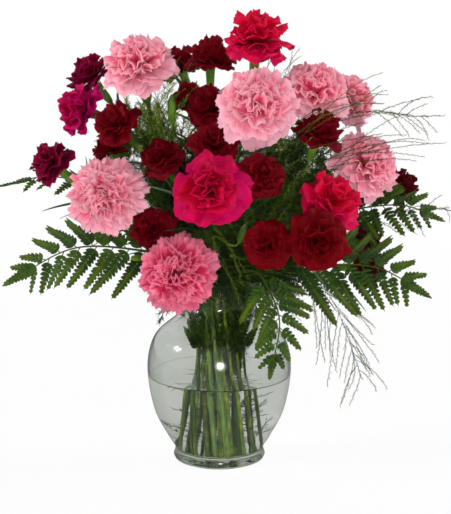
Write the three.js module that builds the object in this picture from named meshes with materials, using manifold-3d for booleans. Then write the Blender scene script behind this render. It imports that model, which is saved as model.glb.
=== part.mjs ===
// Carnations in a clear glass vase: large pink blooms, sprays of small dark red and magenta
// carnations, leatherleaf fern and feathery asparagus fern, standing in water.
// Millimetres, +Z up. The origin is the centre of the vase's foot, on the table, and -Y is the front.
import * as THREE from "three";
import { mergeVertices } from "three/addons/utils/BufferGeometryUtils.js";
import Module from "manifold-3d";

const wasm = await Module();
wasm.setup();

// Driving dimensions

const vase = {
  // outside of the glass from the foot to the rim, as radius and height
  outline: [
    [44, 0],
    [47.5, 4],
    [45.8, 13],
    [54, 27],
    [67.5, 55],
    [74, 97],
    [67, 129],
    [46, 149],
    [32, 161],
    [35, 176],
    [46, 191],
  ],
  steps: 10,
  sides: 20,
  wall: 3,
  floor: 9,
  corner: { width: 1.5, height: 3 }, // inside, where the floor meets the wall
};
const water = { level: 90, gap: 0.3 };
const neck = { height: 161, slotCircle: 24.5 };
const foot = { spread: 1.42, turn: 0.6, lift: 0.7 };
const clearance = 0.45;
const hole = { sides: 4, widening: 1.42, below: 4 };

// A bloom's look: rings of petals, each leaning so many degrees from the bloom's axis and reaching
// so far as a share of the bloom's radius. edge is the petal's far edge, point by point from the
// cleft beside it, and wave how far each point is bent, in degrees.
const kinds = {
  pink: {
    calyx: { length: 27, radius: 7 },
    petals: 6,
    edge: [0.74, 1, 0.93, 0.99],
    wave: [0, 7, -6, 7],
    rings: [
      { lean: 95, reach: 1 },
      { lean: 60, reach: 0.93 },
      { lean: 26, reach: 0.84 },
    ],
  },
  middle: {
    calyx: { length: 24, radius: 5.5 },
    petals: 5,
    edge: [0.72, 1, 0.92, 0.98],
    wave: [0, 7, -6, 7],
    rings: [
      { lean: 94, reach: 1 },
      { lean: 60, reach: 0.9 },
      { lean: 26, reach: 0.84 },
    ],
  },
  small: {
    calyx: { length: 22, radius: 4.6 },
    petals: 5,
    edge: [0.72, 1, 0.95],
    wave: [0, 8, -8],
    rings: [
      { lean: 84, reach: 1 },
      { lean: 38, reach: 0.9 },
    ],
  },
};
// Petals in mm and, as shares of the bloom's radius, its heart and the valleys between its rings. seat
// is how far behind the head's middle its petals start, as a share of its width. The free ball is the
// space that stems keep out of, also as shares of the width.
const petal = { thickness: 0.8, heart: 0.24, valley: 0.48, seat: 0.225, gap: 0.3 };
const freeBall = { radius: 0.34, ahead: 0.02 };

// The green cup under a bloom widens to most of its girth at its shoulder, some way up its length.
const cup = { shoulder: 0.35, girth: 0.85 };
const stemRadius = { pink: 2.4, middle: 2, small: 1.7 };
const greenBud = { length: 20, marks: [5, 14], radii: [4.2, 4, 1], stalk: 1.2 };
const leafThickness = 0.7;
const strapLeaf = {
  length: 46,
  middle: 22,
  rootHalf: 1.2,
  middleHalf: 2.2,
  arch: 0.12,
  lean: 1.1,
  tries: 12,
};

// A stem that meets something is bowed a little more at each try.
const tries = { bloom: 160, bud: 120, frond: 400 };
const bowPerTry = { stem: 0.4, frond: 0.12 };

// How far a stem keeps its first and last direction, as shares of its span.
const handles = { leave: 0.42, arrive: 0.34, leaveToBud: 0.4, arriveAtBud: 0.35 };

// Blooms: middle of the head, the way it faces, and its width across the outer petals.
const blooms = {
  pink_1: { kind: "pink", at: [-78, -20, 408], faces: [-0.15, -0.45, 0.88], width: 78 },
  pink_2: { kind: "pink", at: [-109, -75, 286], faces: [-0.25, -0.88, 0.38], width: 80 },
  pink_3: { kind: "pink", at: [-39, -105, 215], faces: [-0.08, -1, 0.08], width: 80 },
  pink_4: { kind: "pink", at: [37, -60, 372], faces: [0.02, -0.72, 0.68], width: 84 },
  pink_5: { kind: "pink", at: [96, 0, 381], faces: [0.1, -0.5, 0.85], width: 76 },
  pink_6: { kind: "pink", at: [136, 66, 367], faces: [0.75, 0.35, 0.5], width: 66 },
  pink_7: { kind: "pink", at: [149, -15, 309], faces: [0.66, -0.5, 0.5], width: 78 },
  magenta_1: { kind: "middle", at: [38, -5, 434], faces: [0.1, -0.15, 0.97], width: 70 },
  magenta_2: { kind: "middle", at: [-7, -120, 298], faces: [0.05, -0.92, 0.35], width: 74 },
  magenta_3: { kind: "small", at: [-136, 8, 360], faces: [-0.8, -0.2, 0.3], width: 54 },
  magenta_4: { kind: "small", at: [106, -60, 275], faces: [0.35, -0.5, 0.8], width: 52 },
  red_1: { kind: "small", at: [47, -88, 240], faces: [-0.1, -0.97, 0.1], width: 46 },
  red_2: { kind: "small", at: [93, -100, 245], faces: [0.1, -1, 0.02], width: 58 },
  dark_1: { kind: "small", at: [-166, -10, 309], faces: [-0.6, -0.25, 0.6], width: 44 },
  dark_2: { kind: "small", at: [-131, 50, 389], faces: [-0.6, 0, 0.75], width: 43 },
  dark_3: { kind: "small", at: [-100, -35, 350], faces: [-0.5, -0.4, 0.6], width: 45 },
  dark_4: { kind: "small", at: [-109, 25, 318], faces: [-0.3, 0.3, 0.75], width: 41 },
  dark_5: { kind: "small", at: [-41, 65, 402], faces: [-0.35, 0.25, 0.85], width: 44 },
  dark_6: { kind: "small", at: [-9, 35, 410], faces: [0, -0.05, 0.98], width: 50 },
  dark_7: { kind: "small", at: [-29, 25, 370], faces: [-0.2, 0.3, 0.8], width: 40 },
  dark_8: { kind: "small", at: [-11, -15, 364], faces: [-0.1, -0.6, 0.7], width: 48 },
  dark_9: { kind: "small", at: [-4, -45, 331], faces: [0, -0.6, 0.75], width: 50 },
  dark_10: { kind: "small", at: [-55, -30, 316], faces: [-0.3, -0.4, 0.75], width: 45 },
  dark_11: { kind: "small", at: [42, -75, 304], faces: [0.5, -0.7, 0.35], width: 46 },
  dark_12: { kind: "small", at: [-64, -52, 249], faces: [-0.25, -0.85, 0.45], width: 46 },
  dark_13: { kind: "small", at: [98, -27, 342], faces: [0.25, -0.2, 0.85], width: 48 },
  dark_14: { kind: "small", at: [185, 37, 278], faces: [0.85, 0.1, 0.25], width: 44 },
  dark_15: { kind: "small", at: [148, 17, 229], faces: [0.75, 0.15, 0.45], width: 42 },
  dark_16: { kind: "small", at: [146, -32, 206], faces: [0.8, -0.5, 0.05], width: 42 },
};

// Flower stems: the blooms each one carries, the first at its tip and the rest on side shoots, its
// green buds, each a point and the way the bud points, and whether it still has a leaf.
const flowerStems = [
  { name: "pink_stem_1", bears: ["pink_1"], leafy: true },
  { name: "pink_stem_2", bears: ["pink_2"], leafy: true },
  { name: "pink_stem_3", bears: ["pink_3"] },
  { name: "pink_stem_4", bears: ["pink_4"] },
  { name: "pink_stem_5", bears: ["pink_5"], leafy: true },
  { name: "pink_stem_6", bears: ["pink_6"] },
  { name: "pink_stem_7", bears: ["pink_7"], leafy: true },
  { name: "magenta_stem_top", bears: ["magenta_1"] },
  {
    name: "magenta_stem_front",
    bears: ["magenta_2"],
    buds: [{ at: [25, -104, 262], points: [0.25, -0.45, 0.85] }],
  },
  { name: "magenta_stem_left", bears: ["magenta_3"], leafy: true },
  {
    name: "spray_left",
    bears: ["dark_1", "dark_4", "dark_12"],
    buds: [{ at: [-84, -62, 222], points: [-0.6, -0.75, 0.1] }],
  },
  { name: "spray_upper_left", bears: ["dark_3", "dark_2"] },
  {
    name: "spray_top",
    bears: ["dark_6", "dark_5", "dark_7"],
    buds: [
      { at: [-47, -6, 372], points: [0, -0.1, 1] },
      { at: [-67, 2, 348], points: [0, -0.1, 1] },
    ],
  },
  { name: "spray_middle", bears: ["dark_8", "dark_9", "dark_10"] },
  { name: "spray_front", bears: ["dark_11", "red_1"] },
  { name: "spray_front_right", bears: ["magenta_4", "red_2"] },
  { name: "spray_right", bears: ["dark_13", "dark_14"] },
  { name: "spray_low_right", bears: ["dark_15", "dark_16"] },
];

// Leatherleaf fronds: where the leafy part starts, passes and ends, and the way its face looks.
const fronds = [
  {
    name: "fern_left",
    line: [[-72, -44, 226], [-140, -62, 232], [-205, -60, 198]],
    faces: [0.1, -0.9, 0.5],
    longest: 50,
    pairs: 7,
  },
  {
    name: "fern_upper_left",
    line: [[-95, 28, 268], [-165, 14, 292], [-217, 6, 285]],
    faces: [0.1, -0.3, 0.95],
    longest: 34,
    pairs: 5,
  },
  {
    name: "fern_right",
    line: [[84, -62, 206], [146, -58, 222], [200, -50, 185]],
    faces: [-0.1, -0.9, 0.45],
    longest: 58,
    pairs: 7,
  },
  {
    name: "fern_front",
    line: [[44, -78, 202], [58, -97, 168], [50, -96, 116]],
    faces: [0.3, -0.9, -0.1],
    longest: 36,
    pairs: 6,
  },
  {
    name: "fern_upper_right",
    line: [[128, 22, 256], [182, 0, 264], [222, -4, 252]],
    faces: [0, -0.75, 0.6],
    longest: 40,
    pairs: 6,
  },
  {
    name: "fern_back",
    line: [[-18, 62, 222], [-40, 120, 262], [-48, 165, 250]],
    faces: [0, 0.3, 0.95],
    longest: 58,
    pairs: 5,
  },
];

// Asparagus fern: the arching leafy part of each spray, its face and its longest twig.
const plumes = [
  {
    name: "asparagus_right",
    line: [[58, 10, 262], [120, 2, 352], [206, -20, 356]],
    faces: [0.2, -1, 0.3],
    longest: 96,
    pairs: 6,
  },
  {
    name: "asparagus_left",
    line: [[-40, 6, 258], [-62, 10, 350], [-88, 44, 430]],
    faces: [-0.2, -1, 0.2],
    longest: 90,
    pairs: 5,
  },
  {
    name: "asparagus_low_right",
    line: [[70, -40, 212], [118, -62, 172], [138, -70, 104]],
    faces: [0.3, -1, 0.1],
    longest: 80,
    pairs: 6,
  },
  {
    name: "asparagus_far_right",
    line: [[96, 42, 226], [170, 40, 250], [232, 4, 262]],
    faces: [0, -0.8, 0.6],
    longest: 76,
    pairs: 5,
  },
  {
    name: "asparagus_back",
    line: [[14, 66, 246], [52, 118, 302], [62, 150, 334]],
    faces: [0.2, 0.8, 0.5],
    longest: 110,
    pairs: 5,
  },
];

// Small tools

const vec = (p) => new THREE.Vector3(...p);
const step = (from, direction, length) => from.clone().addScaledVector(direction, length);
const onAxis = (height) => new THREE.Vector2(0, height);
const up = new THREE.Vector3(0, 0, 1);

// The same order of random numbers on every run.
let seed = 20417;
function random() {
  seed = (seed * 1664525 + 1013904223) % 4294967296;
  return seed / 4294967296;
}
const within = (size) => (random() * 2 - 1) * size;
const nudge = (size) => new THREE.Vector3(within(size), within(size), within(size));

function solidOf(geometry) {
  geometry.deleteAttribute("normal");
  geometry.deleteAttribute("uv");
  const merged = mergeVertices(geometry, 1e-4);
  return new wasm.Manifold(
    new wasm.Mesh({
      numProp: 3,
      vertProperties: merged.getAttribute("position").array,
      triVerts: new Uint32Array(merged.index.array),
    }),
  );
}

function geometryOf(solid) {
  const mesh = solid.getMesh();
  const geometry = new THREE.BufferGeometry();
  geometry.setAttribute("position", new THREE.BufferAttribute(mesh.vertProperties, 3));
  geometry.setIndex(new THREE.BufferAttribute(mesh.triVerts, 1));
  return geometry;
}

// Joins the pieces of one node. What fusing seals off is filled, and a loose scrap is dropped.
function fuse(solids) {
  const bodies = wasm.Manifold.union(solids).decompose();
  return bodies.reduce((best, body) => (body.volume() > best.volume() ? body : best));
}

// A stem along its points, each with its own radius: a cylinder whose rings are moved to the points.
function tube(points, radii, sides = 5) {
  const last = points.length - 1;
  const geometry = new THREE.CylinderGeometry(1, 1, last, sides, last);
  const vertices = geometry.getAttribute("position");
  let side = new THREE.Vector3(1, 0.13, 0);
  const rings = points.map((point, i) => {
    const along = points[Math.min(i + 1, last)].clone().sub(points[Math.max(i - 1, 0)]).normalize();
    side = side.clone().addScaledVector(along, -side.dot(along)).normalize();
    return { point, side, across: along.clone().cross(side) };
  });
  for (let k = 0; k < vertices.count; k++) {
    const i = Math.round(last / 2 - vertices.getY(k));
    const { point, side, across } = rings[i];
    const out = side.clone().multiplyScalar(vertices.getX(k)).addScaledVector(across, vertices.getZ(k));
    vertices.setXYZ(k, ...step(point, out, radii[i]).toArray());
  }
  return solidOf(geometry);
}

// A thin closed sheet over triangles of points, alike on both faces, with a rim along its open edges.
function sheet(points, normals, triangles, thickness) {
  const count = points.length;
  const vertices = [1, -1].flatMap((face) =>
    points.map((p, i) => step(p, normals[i], (face * thickness) / 2)),
  );
  const rim = new Map();
  for (const [a, b, c] of triangles)
    for (const [from, to] of [[a, b], [b, c], [c, a]]) {
      if (!rim.delete(to + " " + from)) rim.set(from + " " + to, [from, to]);
    }
  const index = triangles.flatMap(([a, b, c]) => [a, b, c, a + count, c + count, b + count]);
  for (const [a, b] of rim.values()) index.push(a, a + count, b + count, a, b + count, b);
  const geometry = new THREE.BufferGeometry();
  const numbers = vertices.flatMap((vertex) => vertex.toArray());
  geometry.setAttribute("position", new THREE.Float32BufferAttribute(numbers, 3));
  geometry.setIndex(index);
  return solidOf(geometry);
}

// What stands already, so that the next piece can be bent clear of it

const standing = [];

function stand(name, solid) {
  const { min, max } = solid.boundingBox();
  standing.push({ name, solid, min, max });
}

// The first piece that a solid would run into.
function blocker(solid, ignore = []) {
  const { min, max } = solid.boundingBox();
  const apart = (other) => [0, 1, 2].some((k) => min[k] > other.max[k] || max[k] < other.min[k]);
  return standing.find((other) => {
    if (ignore.includes(other.name) || apart(other)) return false;
    const common = solid.intersect(other.solid);
    const meets = !common.isEmpty();
    common.delete();
    return meets;
  });
}
const isClear = (solid, ignore) => !blocker(solid, ignore);

// Sets each choice in turn to the first option that keeps the whole piece clear, or else the last one.
function grow(choices, options, build) {
  choices.forEach((_, k) => {
    choices[k] = options.find((option) => {
      choices[k] = option;
      return isClear(build(clearance));
    }) ?? options.at(-1);
  });
}

// Vase and water

const outline = new THREE.SplineCurve(vase.outline.map(([r, z]) => new THREE.Vector2(r, z)));
const outside = outline.getPoints(vase.steps);
const inside = outside
  .filter((p) => p.y > vase.floor + vase.corner.height)
  .map((p) => new THREE.Vector2(p.x - vase.wall, p.y));
inside.unshift(new THREE.Vector2(inside[0].x - vase.corner.width, vase.floor));

// Turned about the vertical axis; the outline runs anticlockwise, seen with its radius to the right.
function turned(outlinePoints, sides) {
  const geometry = new THREE.LatheGeometry(outlinePoints, sides);
  geometry.rotateX(Math.PI / 2);
  const solid = solidOf(geometry);
  if (solid.volume() > 0) return solid;
  return turned(outlinePoints.toReversed(), sides);
}

function makeVase() {
  return turned([onAxis(0), ...outside, ...inside.toReversed(), onAxis(vase.floor)], vase.sides);
}

// The wetted inside of the glass, up to the water's level.
function makeWater(holes) {
  const wet = inside.filter((p) => p.y < water.level);
  const [under, over] = [wet.at(-1), inside[wet.length]];
  const share = (water.level - under.y) / (over.y - under.y);
  const edge = under.clone().lerp(over, share);
  const skin = [...wet, edge].map((p) => new THREE.Vector2(p.x - water.gap, p.y));
  skin[0].y += water.gap;
  const body = turned([onAxis(vase.floor + water.gap), ...skin, onAxis(water.level)], vase.sides);
  return fuse([body.subtract(wasm.Manifold.union(holes))]);
}

// Stems

// Places in the neck, spread evenly like seeds in a sunflower, and taken by the stem that leans that way.
const stemCount = flowerStems.length + fronds.length + plumes.length;
const slots = [...Array(stemCount).keys()].map((k) => {
  const reach = neck.slotCircle * Math.sqrt((k + 0.5) / stemCount);
  const turn = k * Math.PI * (3 - Math.sqrt(5));
  return new THREE.Vector2(reach * Math.cos(turn), reach * Math.sin(turn));
});

function takeSlots(stems) {
  const reach = (stem) => Math.hypot(stem.target.x, stem.target.y);
  const scale = (1.1 * neck.slotCircle) / Math.max(...stems.map(reach));
  const free = [...slots];
  for (const stem of [...stems].sort((a, b) => reach(b) - reach(a))) {
    const wish = new THREE.Vector2(stem.target.x, stem.target.y).multiplyScalar(scale);
    free.sort((a, b) => a.distanceTo(wish) - b.distanceTo(wish));
    stem.slot = free.shift();
  }
}

// The cut end on the vase's floor and the place in the neck.
function lowerEnds(slot) {
  const cut = slot.clone().rotateAround(new THREE.Vector2(), foot.turn).multiplyScalar(foot.spread);
  return [
    new THREE.Vector3(cut.x, cut.y, vase.floor + foot.lift),
    new THREE.Vector3(slot.x, slot.y, neck.height),
  ];
}

// The hole that a stem stands in, wider than the stem all the way through the water.
function holeFor(slot, radius) {
  const [cut, place] = lowerEnds(slot);
  const along = place.clone().sub(cut).normalize();
  const wide = hole.widening * radius + clearance;
  return tube([step(cut, along, -hole.below), place], [wide, wide], hole.sides);
}

function arc(from, leave, arrive, to, count) {
  return new THREE.CubicBezierCurve3(from, leave, arrive, to).getPoints(count);
}

// Where the green cup under a bloom starts, where its petals start, and the bloom's axis.
function seatOf(name) {
  const { kind, at, faces, width } = blooms[name];
  const axis = vec(faces).normalize();
  const top = step(vec(at), axis, -petal.seat * width);
  const calyx = kinds[kind].calyx;
  return { axis, top, calyx, bottom: step(top, axis, -calyx.length) };
}

// A stem that ends in a calyx: tried straight first, then bowed more and more until it is clear.
function shoot(from, lead, name, ignore, lower = []) {
  const steps = lower.length ? 4 : 3;
  const { axis, top, calyx, bottom } = seatOf(name);
  const radius = stemRadius[blooms[name].kind];
  const span = from.distanceTo(bottom);
  let last;
  for (let attempt = 0; attempt < tries.bloom; attempt++) {
    const bow = attempt * bowPerTry.stem;
    const leave = step(from, lead, handles.leave * span).add(nudge(bow));
    const arrive = step(bottom, axis, -handles.arrive * span).add(nudge(bow));
    const rise = arc(from, leave, arrive, bottom, steps);
    const points = [...lower, ...rise, step(bottom, axis, cup.shoulder * calyx.length), top];
    const radii = points.map(() => radius);
    radii.splice(-2, 2, cup.girth * calyx.radius, calyx.radius);
    const fat = tube(points, radii.map((r) => r + clearance));
    last = blocker(fat, ignore);
    if (!last) return { solid: tube(points, radii), rise };
  }
  throw new Error("no clear way for the stem of " + name + " past " + last.name);
}

// A green bud on a thin side shoot.
function budShoot(from, lead, bud, ignore) {
  const tip = vec(bud.at);
  const axis = vec(bud.points).normalize();
  const base = step(tip, axis, -greenBud.length);
  const span = from.distanceTo(base);
  let last;
  for (let attempt = 0; attempt < tries.bud; attempt++) {
    const leave = step(from, lead, handles.leaveToBud * span).add(nudge(attempt * bowPerTry.stem));
    const rise = arc(from, leave, step(base, axis, -handles.arriveAtBud * span), base, 3);
    const points = [...rise, ...greenBud.marks.map((mark) => step(base, axis, mark)), tip];
    const radii = [...rise.map(() => greenBud.stalk), ...greenBud.radii];
    const fat = tube(points, radii.map((r) => r + clearance));
    last = blocker(fat, ignore);
    if (!last) return tube(points, radii);
  }
  throw new Error("no clear way for the bud at " + bud.at + " past " + last.name);
}

// A narrow carnation leaf that stands off the stem.
function stemLeaf(root, along, turn) {
  const { length, middle, rootHalf, middleHalf, arch, lean } = strapLeaf;
  const side = new THREE.Vector3(Math.cos(turn), Math.sin(turn), 0);
  const out = side.addScaledVector(along, lean).normalize();
  const across = out.clone().cross(along).normalize();
  const normal = across.clone().cross(out);
  const at = (x, y) => step(step(step(root, across, x), out, y), normal, arch * y * (1 - y / length));
  const points = [
    at(-rootHalf, 0),
    at(rootHalf, 0),
    at(-middleHalf, middle),
    at(middleHalf, middle),
    at(0, length),
  ];
  return sheet(points, points.map(() => normal), [[0, 1, 2], [1, 3, 2], [2, 3, 4]], leafThickness);
}

function makeFlowerStem(stem) {
  const [cut, place] = lowerEnds(stem.slot);
  const own = stem.bears.map((name) => "heart of " + name);
  const main = shoot(place, up, stem.bears[0], own, [cut]);
  const parts = [main.solid];
  stem.bears.slice(1).forEach((name, k) => {
    const fork = main.rise[k + 1];
    const lead = main.rise[k + 2].clone().sub(fork).normalize();
    parts.push(shoot(fork, lead, name, own).solid);
  });
  (stem.buds ?? []).forEach((bud, k) => {
    const fork = main.rise[k + 2];
    const lead = main.rise[k + 3].clone().sub(fork).normalize();
    parts.push(budShoot(fork, lead, bud, own));
  });
  const root = main.rise[2];
  const along = main.rise[3].clone().sub(root).normalize();
  for (let attempt = 0; stem.leafy && attempt < strapLeaf.tries; attempt++) {
    const leaf = stemLeaf(root, along, random() * 2 * Math.PI);
    if (!isClear(leaf)) continue;
    parts.push(leaf);
    break;
  }
  stem.hole = holeFor(stem.slot, stemRadius[blooms[stem.bears[0]].kind]);
  return fuse(parts);
}

// Blooms

// A bloom as one ruffled skin in its own frame, whose z runs along its axis: out along the back of a
// ring of petals, over its edge, down its face into the valley, and so on to the heart.
function head(kind, radius, choices, spare) {
  const { petals, edge, wave, rings, calyx } = kinds[kind];
  const around = petals * edge.length;
  const polar = (lean, away) => {
    const tilt = THREE.MathUtils.degToRad(lean);
    return [away * Math.sin(tilt), petal.heart * radius + away * Math.cos(tilt)];
  };
  const rows = [() => [0, 0], () => [cup.girth * calyx.radius, 0]];
  rings.forEach((ring, level) => {
    const rim = (face) => (column) => {
      const place = column + level * Math.ceil(edge.length / 2);
      const point = place % edge.length;
      const own = Math.floor(place / edge.length) % petals;
      const beside = point ? own : (own + petals - 1) % petals;
      const [one, two] = [choices[level * petals + own], choices[level * petals + beside]];
      const lean = ring.lean - (one.bend + two.bend) / 2 + wave[point];
      const away = (ring.reach * edge[point] * radius * (one.reach + two.reach)) / 2 + spare;
      const [r, z] = polar(lean, away);
      const tilt = THREE.MathUtils.degToRad(lean);
      const half = face * (petal.thickness / 2 + spare);
      return [r + half * Math.cos(tilt), z - half * Math.sin(tilt)];
    };
    const next = rings[level + 1] ?? { lean: -ring.lean };
    rows.push(rim(1), rim(-1), () => polar((ring.lean + next.lean) / 2, petal.valley * radius));
  });
  const geometry = new THREE.LatheGeometry(rows.map((_, k) => new THREE.Vector2(1, k)), around);
  const vertices = geometry.getAttribute("position");
  for (let k = 0; k < vertices.count; k++) {
    const column = Math.floor(k / rows.length) % around;
    const [r, z] = rows[k % rows.length](column);
    const turn = (2 * Math.PI * column) / around;
    vertices.setXYZ(k, r * Math.sin(turn), -r * Math.cos(turn), z);
  }
  return solidOf(geometry);
}

// Each petal spreads as far as its neighbours leave room: bent towards the axis, or shorter.
const petalOptions = [
  { reach: 1, bend: 0 },
  { reach: 1, bend: 10 },
  { reach: 0.86, bend: 0 },
  { reach: 0.86, bend: 10 },
  { reach: 0.74, bend: 5 },
  { reach: 0.62, bend: 5 },
  { reach: 0.5, bend: 5 },
];

function makeBloom(name) {
  const { kind, width } = blooms[name];
  const { axis, top } = seatOf(name);
  const facing = new THREE.Quaternion().setFromUnitVectors(up, axis);
  const spin = new THREE.Quaternion().setFromAxisAngle(up, random() * 2 * Math.PI);
  const fullSize = new THREE.Vector3(1, 1, 1);
  const seat = step(top, axis, petal.gap);
  const place = new THREE.Matrix4().compose(seat, facing.multiply(spin), fullSize);
  const { petals, rings } = kinds[kind];
  const choices = Array(petals * rings.length).fill(petalOptions.at(-1));
  const build = (spare) => head(kind, width / 2, choices, spare).transform(place.elements);
  grow(choices, petalOptions, build);
  return build(0);
}

// Greenery

// How much a rib thins, the share of it that carries leaflets, and how the leaflets of a plume are
// turned about it, one after another.
const ribShape = { taper: 0.5, leafy: 0.94, turn: 2.4 };

// A feathered sheet along a rib: pairs of leaflets cut to the rib, and one at the tip. Each stands on
// a share of its stretch of rib, and rows gives its half widths, as [how far out, share of half].
function feather(curve, face, plan, choices, spare) {
  const { pairs, base, rows, length, half, rib, forward, spread, droop } = plan;
  const [points, normals, triangles] = [[], [], []];
  const frame = (share) => {
    const along = curve.getTangentAt(share);
    const side = along.clone().cross(face).normalize();
    return { root: curve.getPointAt(share), along, side, normal: side.clone().cross(along) };
  };
  const put = (point, normal) => {
    points.push(point);
    normals.push(normal);
    return points.length - 1;
  };
  const marks = [...Array(pairs).keys()].flatMap((k) => (base < 1 ? [k, k + base] : [k]));
  const ribAt = (k) => rib * (1 - (ribShape.taper * k) / pairs);
  const stations = [...marks, pairs].map((k) => {
    const { root, side, normal } = frame((ribShape.leafy * k) / pairs);
    return [1, -1].map((hand) => put(step(root, side, hand * ribAt(k)), normal));
  });
  stations.slice(1).forEach(([nextRight, nextLeft], k) => {
    const [right, left] = stations[k];
    triangles.push([right, nextRight, left], [nextRight, nextLeft, left]);
  });
  for (let k = 0; k < 2 * pairs; k++) {
    const pair = Math.floor(k / 2);
    const first = marks.indexOf(pair);
    const [[right, left], [nextRight, nextLeft]] = [stations[first], stations[first + 1]];
    const share = (ribShape.leafy * (pair + base / 2)) / pairs;
    const { root, along, side, normal } = frame(share);
    const full = length(share) * choices[k].reach;
    const hand = k % 2 ? -1 : 1;
    const out = side.clone().multiplyScalar(hand).addScaledVector(along, forward);
    out.addScaledVector(normal, choices[k].lift + spread * Math.sin(ribShape.turn * k)).normalize();
    const across = normal.clone().cross(out).normalize();
    const edge = step(root, side, hand * ribAt(pair + base / 2));
    const at = (away, x) => {
      const flat = step(step(edge, out, away * full), across, x);
      return put(step(flat, normal, -droop * full * away * away), normal);
    };
    let [near, far] = k % 2 ? [nextLeft, left] : [right, nextRight];
    for (const [away, wide] of rows) {
      const [a, b] = [-1, 1].map((end) => at(away, end * half * wide * full));
      triangles.push([near, a, far], [a, b, far]);
      [near, far] = [a, b];
    }
    triangles.push([near, at(1, 0), far]);
  }
  const [right, left] = stations.at(-1);
  triangles.push([right, put(curve.getPointAt(1), frame(1).normal), left]);
  return sheet(points, normals, triangles, leafThickness + spare);
}

// Each leaflet is tried flat, then lifted or lowered, then shorter.
const leafletOptions = [
  { reach: 1, lift: 0 },
  { reach: 1, lift: 0.35 },
  { reach: 1, lift: -0.35 },
  { reach: 0.75, lift: 0 },
  { reach: 0.75, lift: 0.5 },
  { reach: 0.5, lift: 0 },
  { reach: 0.3, lift: 0 },
  { reach: 0.05, lift: 0 },
];

function grownFeather(curve, face, leaflets) {
  const choices = Array(2 * leaflets.pairs).fill(leafletOptions.at(-1));
  const build = (spare) => feather(curve, face, leaflets, choices, spare);
  if (!isClear(build(clearance))) return undefined;
  grow(choices, leafletOptions, build);
  return build(0);
}

const stalk = { sides: 4, tipRadius: 0.8, risesFor: 34, leadsFor: 26, tipNudge: 0.4 };

// A stalk from the vase's floor through the neck, and the feathered part that it carries. Bowed more
// and more until both are clear of the rest.
function frondOf(plan, radius, leaflets) {
  const [cut, place] = lowerEnds(plan.slot);
  plan.hole = holeFor(plan.slot, radius);
  for (let attempt = 0; attempt < tries.frond; attempt++) {
    const bow = attempt * bowPerTry.frond;
    const via = plan.line.map((p, k) => step(vec(p), nudge(bow), k === 2 ? stalk.tipNudge : 1));
    const lead = via[0].clone().sub(via[1]).normalize();
    const leave = step(place, up, stalk.risesFor);
    const rise = arc(place, leave, step(via[0], lead, stalk.leadsFor), via[0], 4);
    const leafy = new THREE.CatmullRomCurve3([rise[3], ...via]).getPoints(12).slice(3);
    const points = [cut, ...rise, leafy[1]];
    const radii = points.map((_, k) => (k < 5 ? radius : stalk.tipRadius));
    if (!isClear(tube(points, radii.map((r) => r + clearance), stalk.sides))) continue;
    const curve = new THREE.CatmullRomCurve3(leafy);
    const leaves = grownFeather(curve, vec(plan.faces).normalize(), { ...leaflets, ...plan });
    if (leaves) return fuse([tube(points, radii, stalk.sides), leaves]);
  }
  throw new Error("no clear way for " + plan.name);
}

// A leatherleaf frond: lobed pinnae, shorter towards its tip.
function makeFrond(plan) {
  return frondOf(plan, 1.5, {
    base: 1,
    rows: [[0.36, 1], [0.52, 0.5], [0.7, 0.62]],
    length: (share) => plan.longest * (1 - share) ** 0.75 + 7,
    half: 0.15,
    rib: 1.1,
    forward: 0.5,
    spread: 0,
    droop: 0.14,
  });
}

// An asparagus plume: twigs to both sides, up and down, each one cut into needles.
function makePlume(plan) {
  return frondOf(plan, 1.3, {
    base: 0.14,
    rows: [[0.34, 1], [0.37, 0.12], [0.66, 0.9], [0.69, 0.12]],
    length: (share) => plan.longest * (1 - 0.72 * share),
    half: 0.11,
    rib: 1,
    forward: 0.8,
    spread: 0.6,
    droop: 0.12,
  });
}

// Materials

const finish = (color, roughness, extra = {}) => () =>
  new THREE.MeshStandardMaterial({ color, roughness, metalness: 0, ...extra });
const finishes = {
  glass: finish(0xdfe8e2, 0.05, { transparent: true, opacity: 0.3 }),
  water: finish(0xe6efe6, 0.05, { transparent: true, opacity: 0.35 }),
  stem: finish(0x5f8a3a, 0.6),
  fern: finish(0x2f6a1c, 0.45),
  asparagus: finish(0x3c7424, 0.6),
  pink: finish(0xf391a4, 0.7),
  magenta: finish(0xd0103f, 0.6),
  dark: finish(0x6d0716, 0.65),
  red: finish(0x9c0a18, 0.65),
};

// The whole arrangement

const arrangement = new THREE.Group();
arrangement.name = "carnations_in_vase";

function add(name, solid, material, origin = new THREE.Vector3()) {
  const geometry = geometryOf(solid);
  geometry.translate(-origin.x, -origin.y, -origin.z);
  const mesh = new THREE.Mesh(geometry, finishes[material]());
  mesh.name = name;
  mesh.position.copy(origin);
  arrangement.add(mesh);
}

const glass = makeVase();
stand("vase", glass);
add("vase", glass, "glass");

for (const stem of flowerStems) stem.target = seatOf(stem.bears[0]).bottom;
for (const plan of [...fronds, ...plumes]) plan.target = vec(plan.line[1]);
takeSlots([...flowerStems, ...fronds, ...plumes]);

// the middle of every bloom is kept free while the stems find their way
const hearts = Object.entries(blooms).map(([name, bloom]) => {
  const { axis } = seatOf(name);
  const ball = new THREE.IcosahedronGeometry(freeBall.radius * bloom.width, 1);
  ball.translate(...step(vec(bloom.at), axis, freeBall.ahead * bloom.width).toArray());
  return ["heart of " + name, solidOf(ball)];
});
for (const [name, heart] of hearts) stand(name, heart);
for (const stem of flowerStems) {
  const solid = makeFlowerStem(stem);
  stand(stem.name, solid);
  add(stem.name, solid, "stem", lowerEnds(stem.slot)[0]);
}
for (const [name] of hearts) standing.splice(standing.findIndex((other) => other.name === name), 1);

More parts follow.
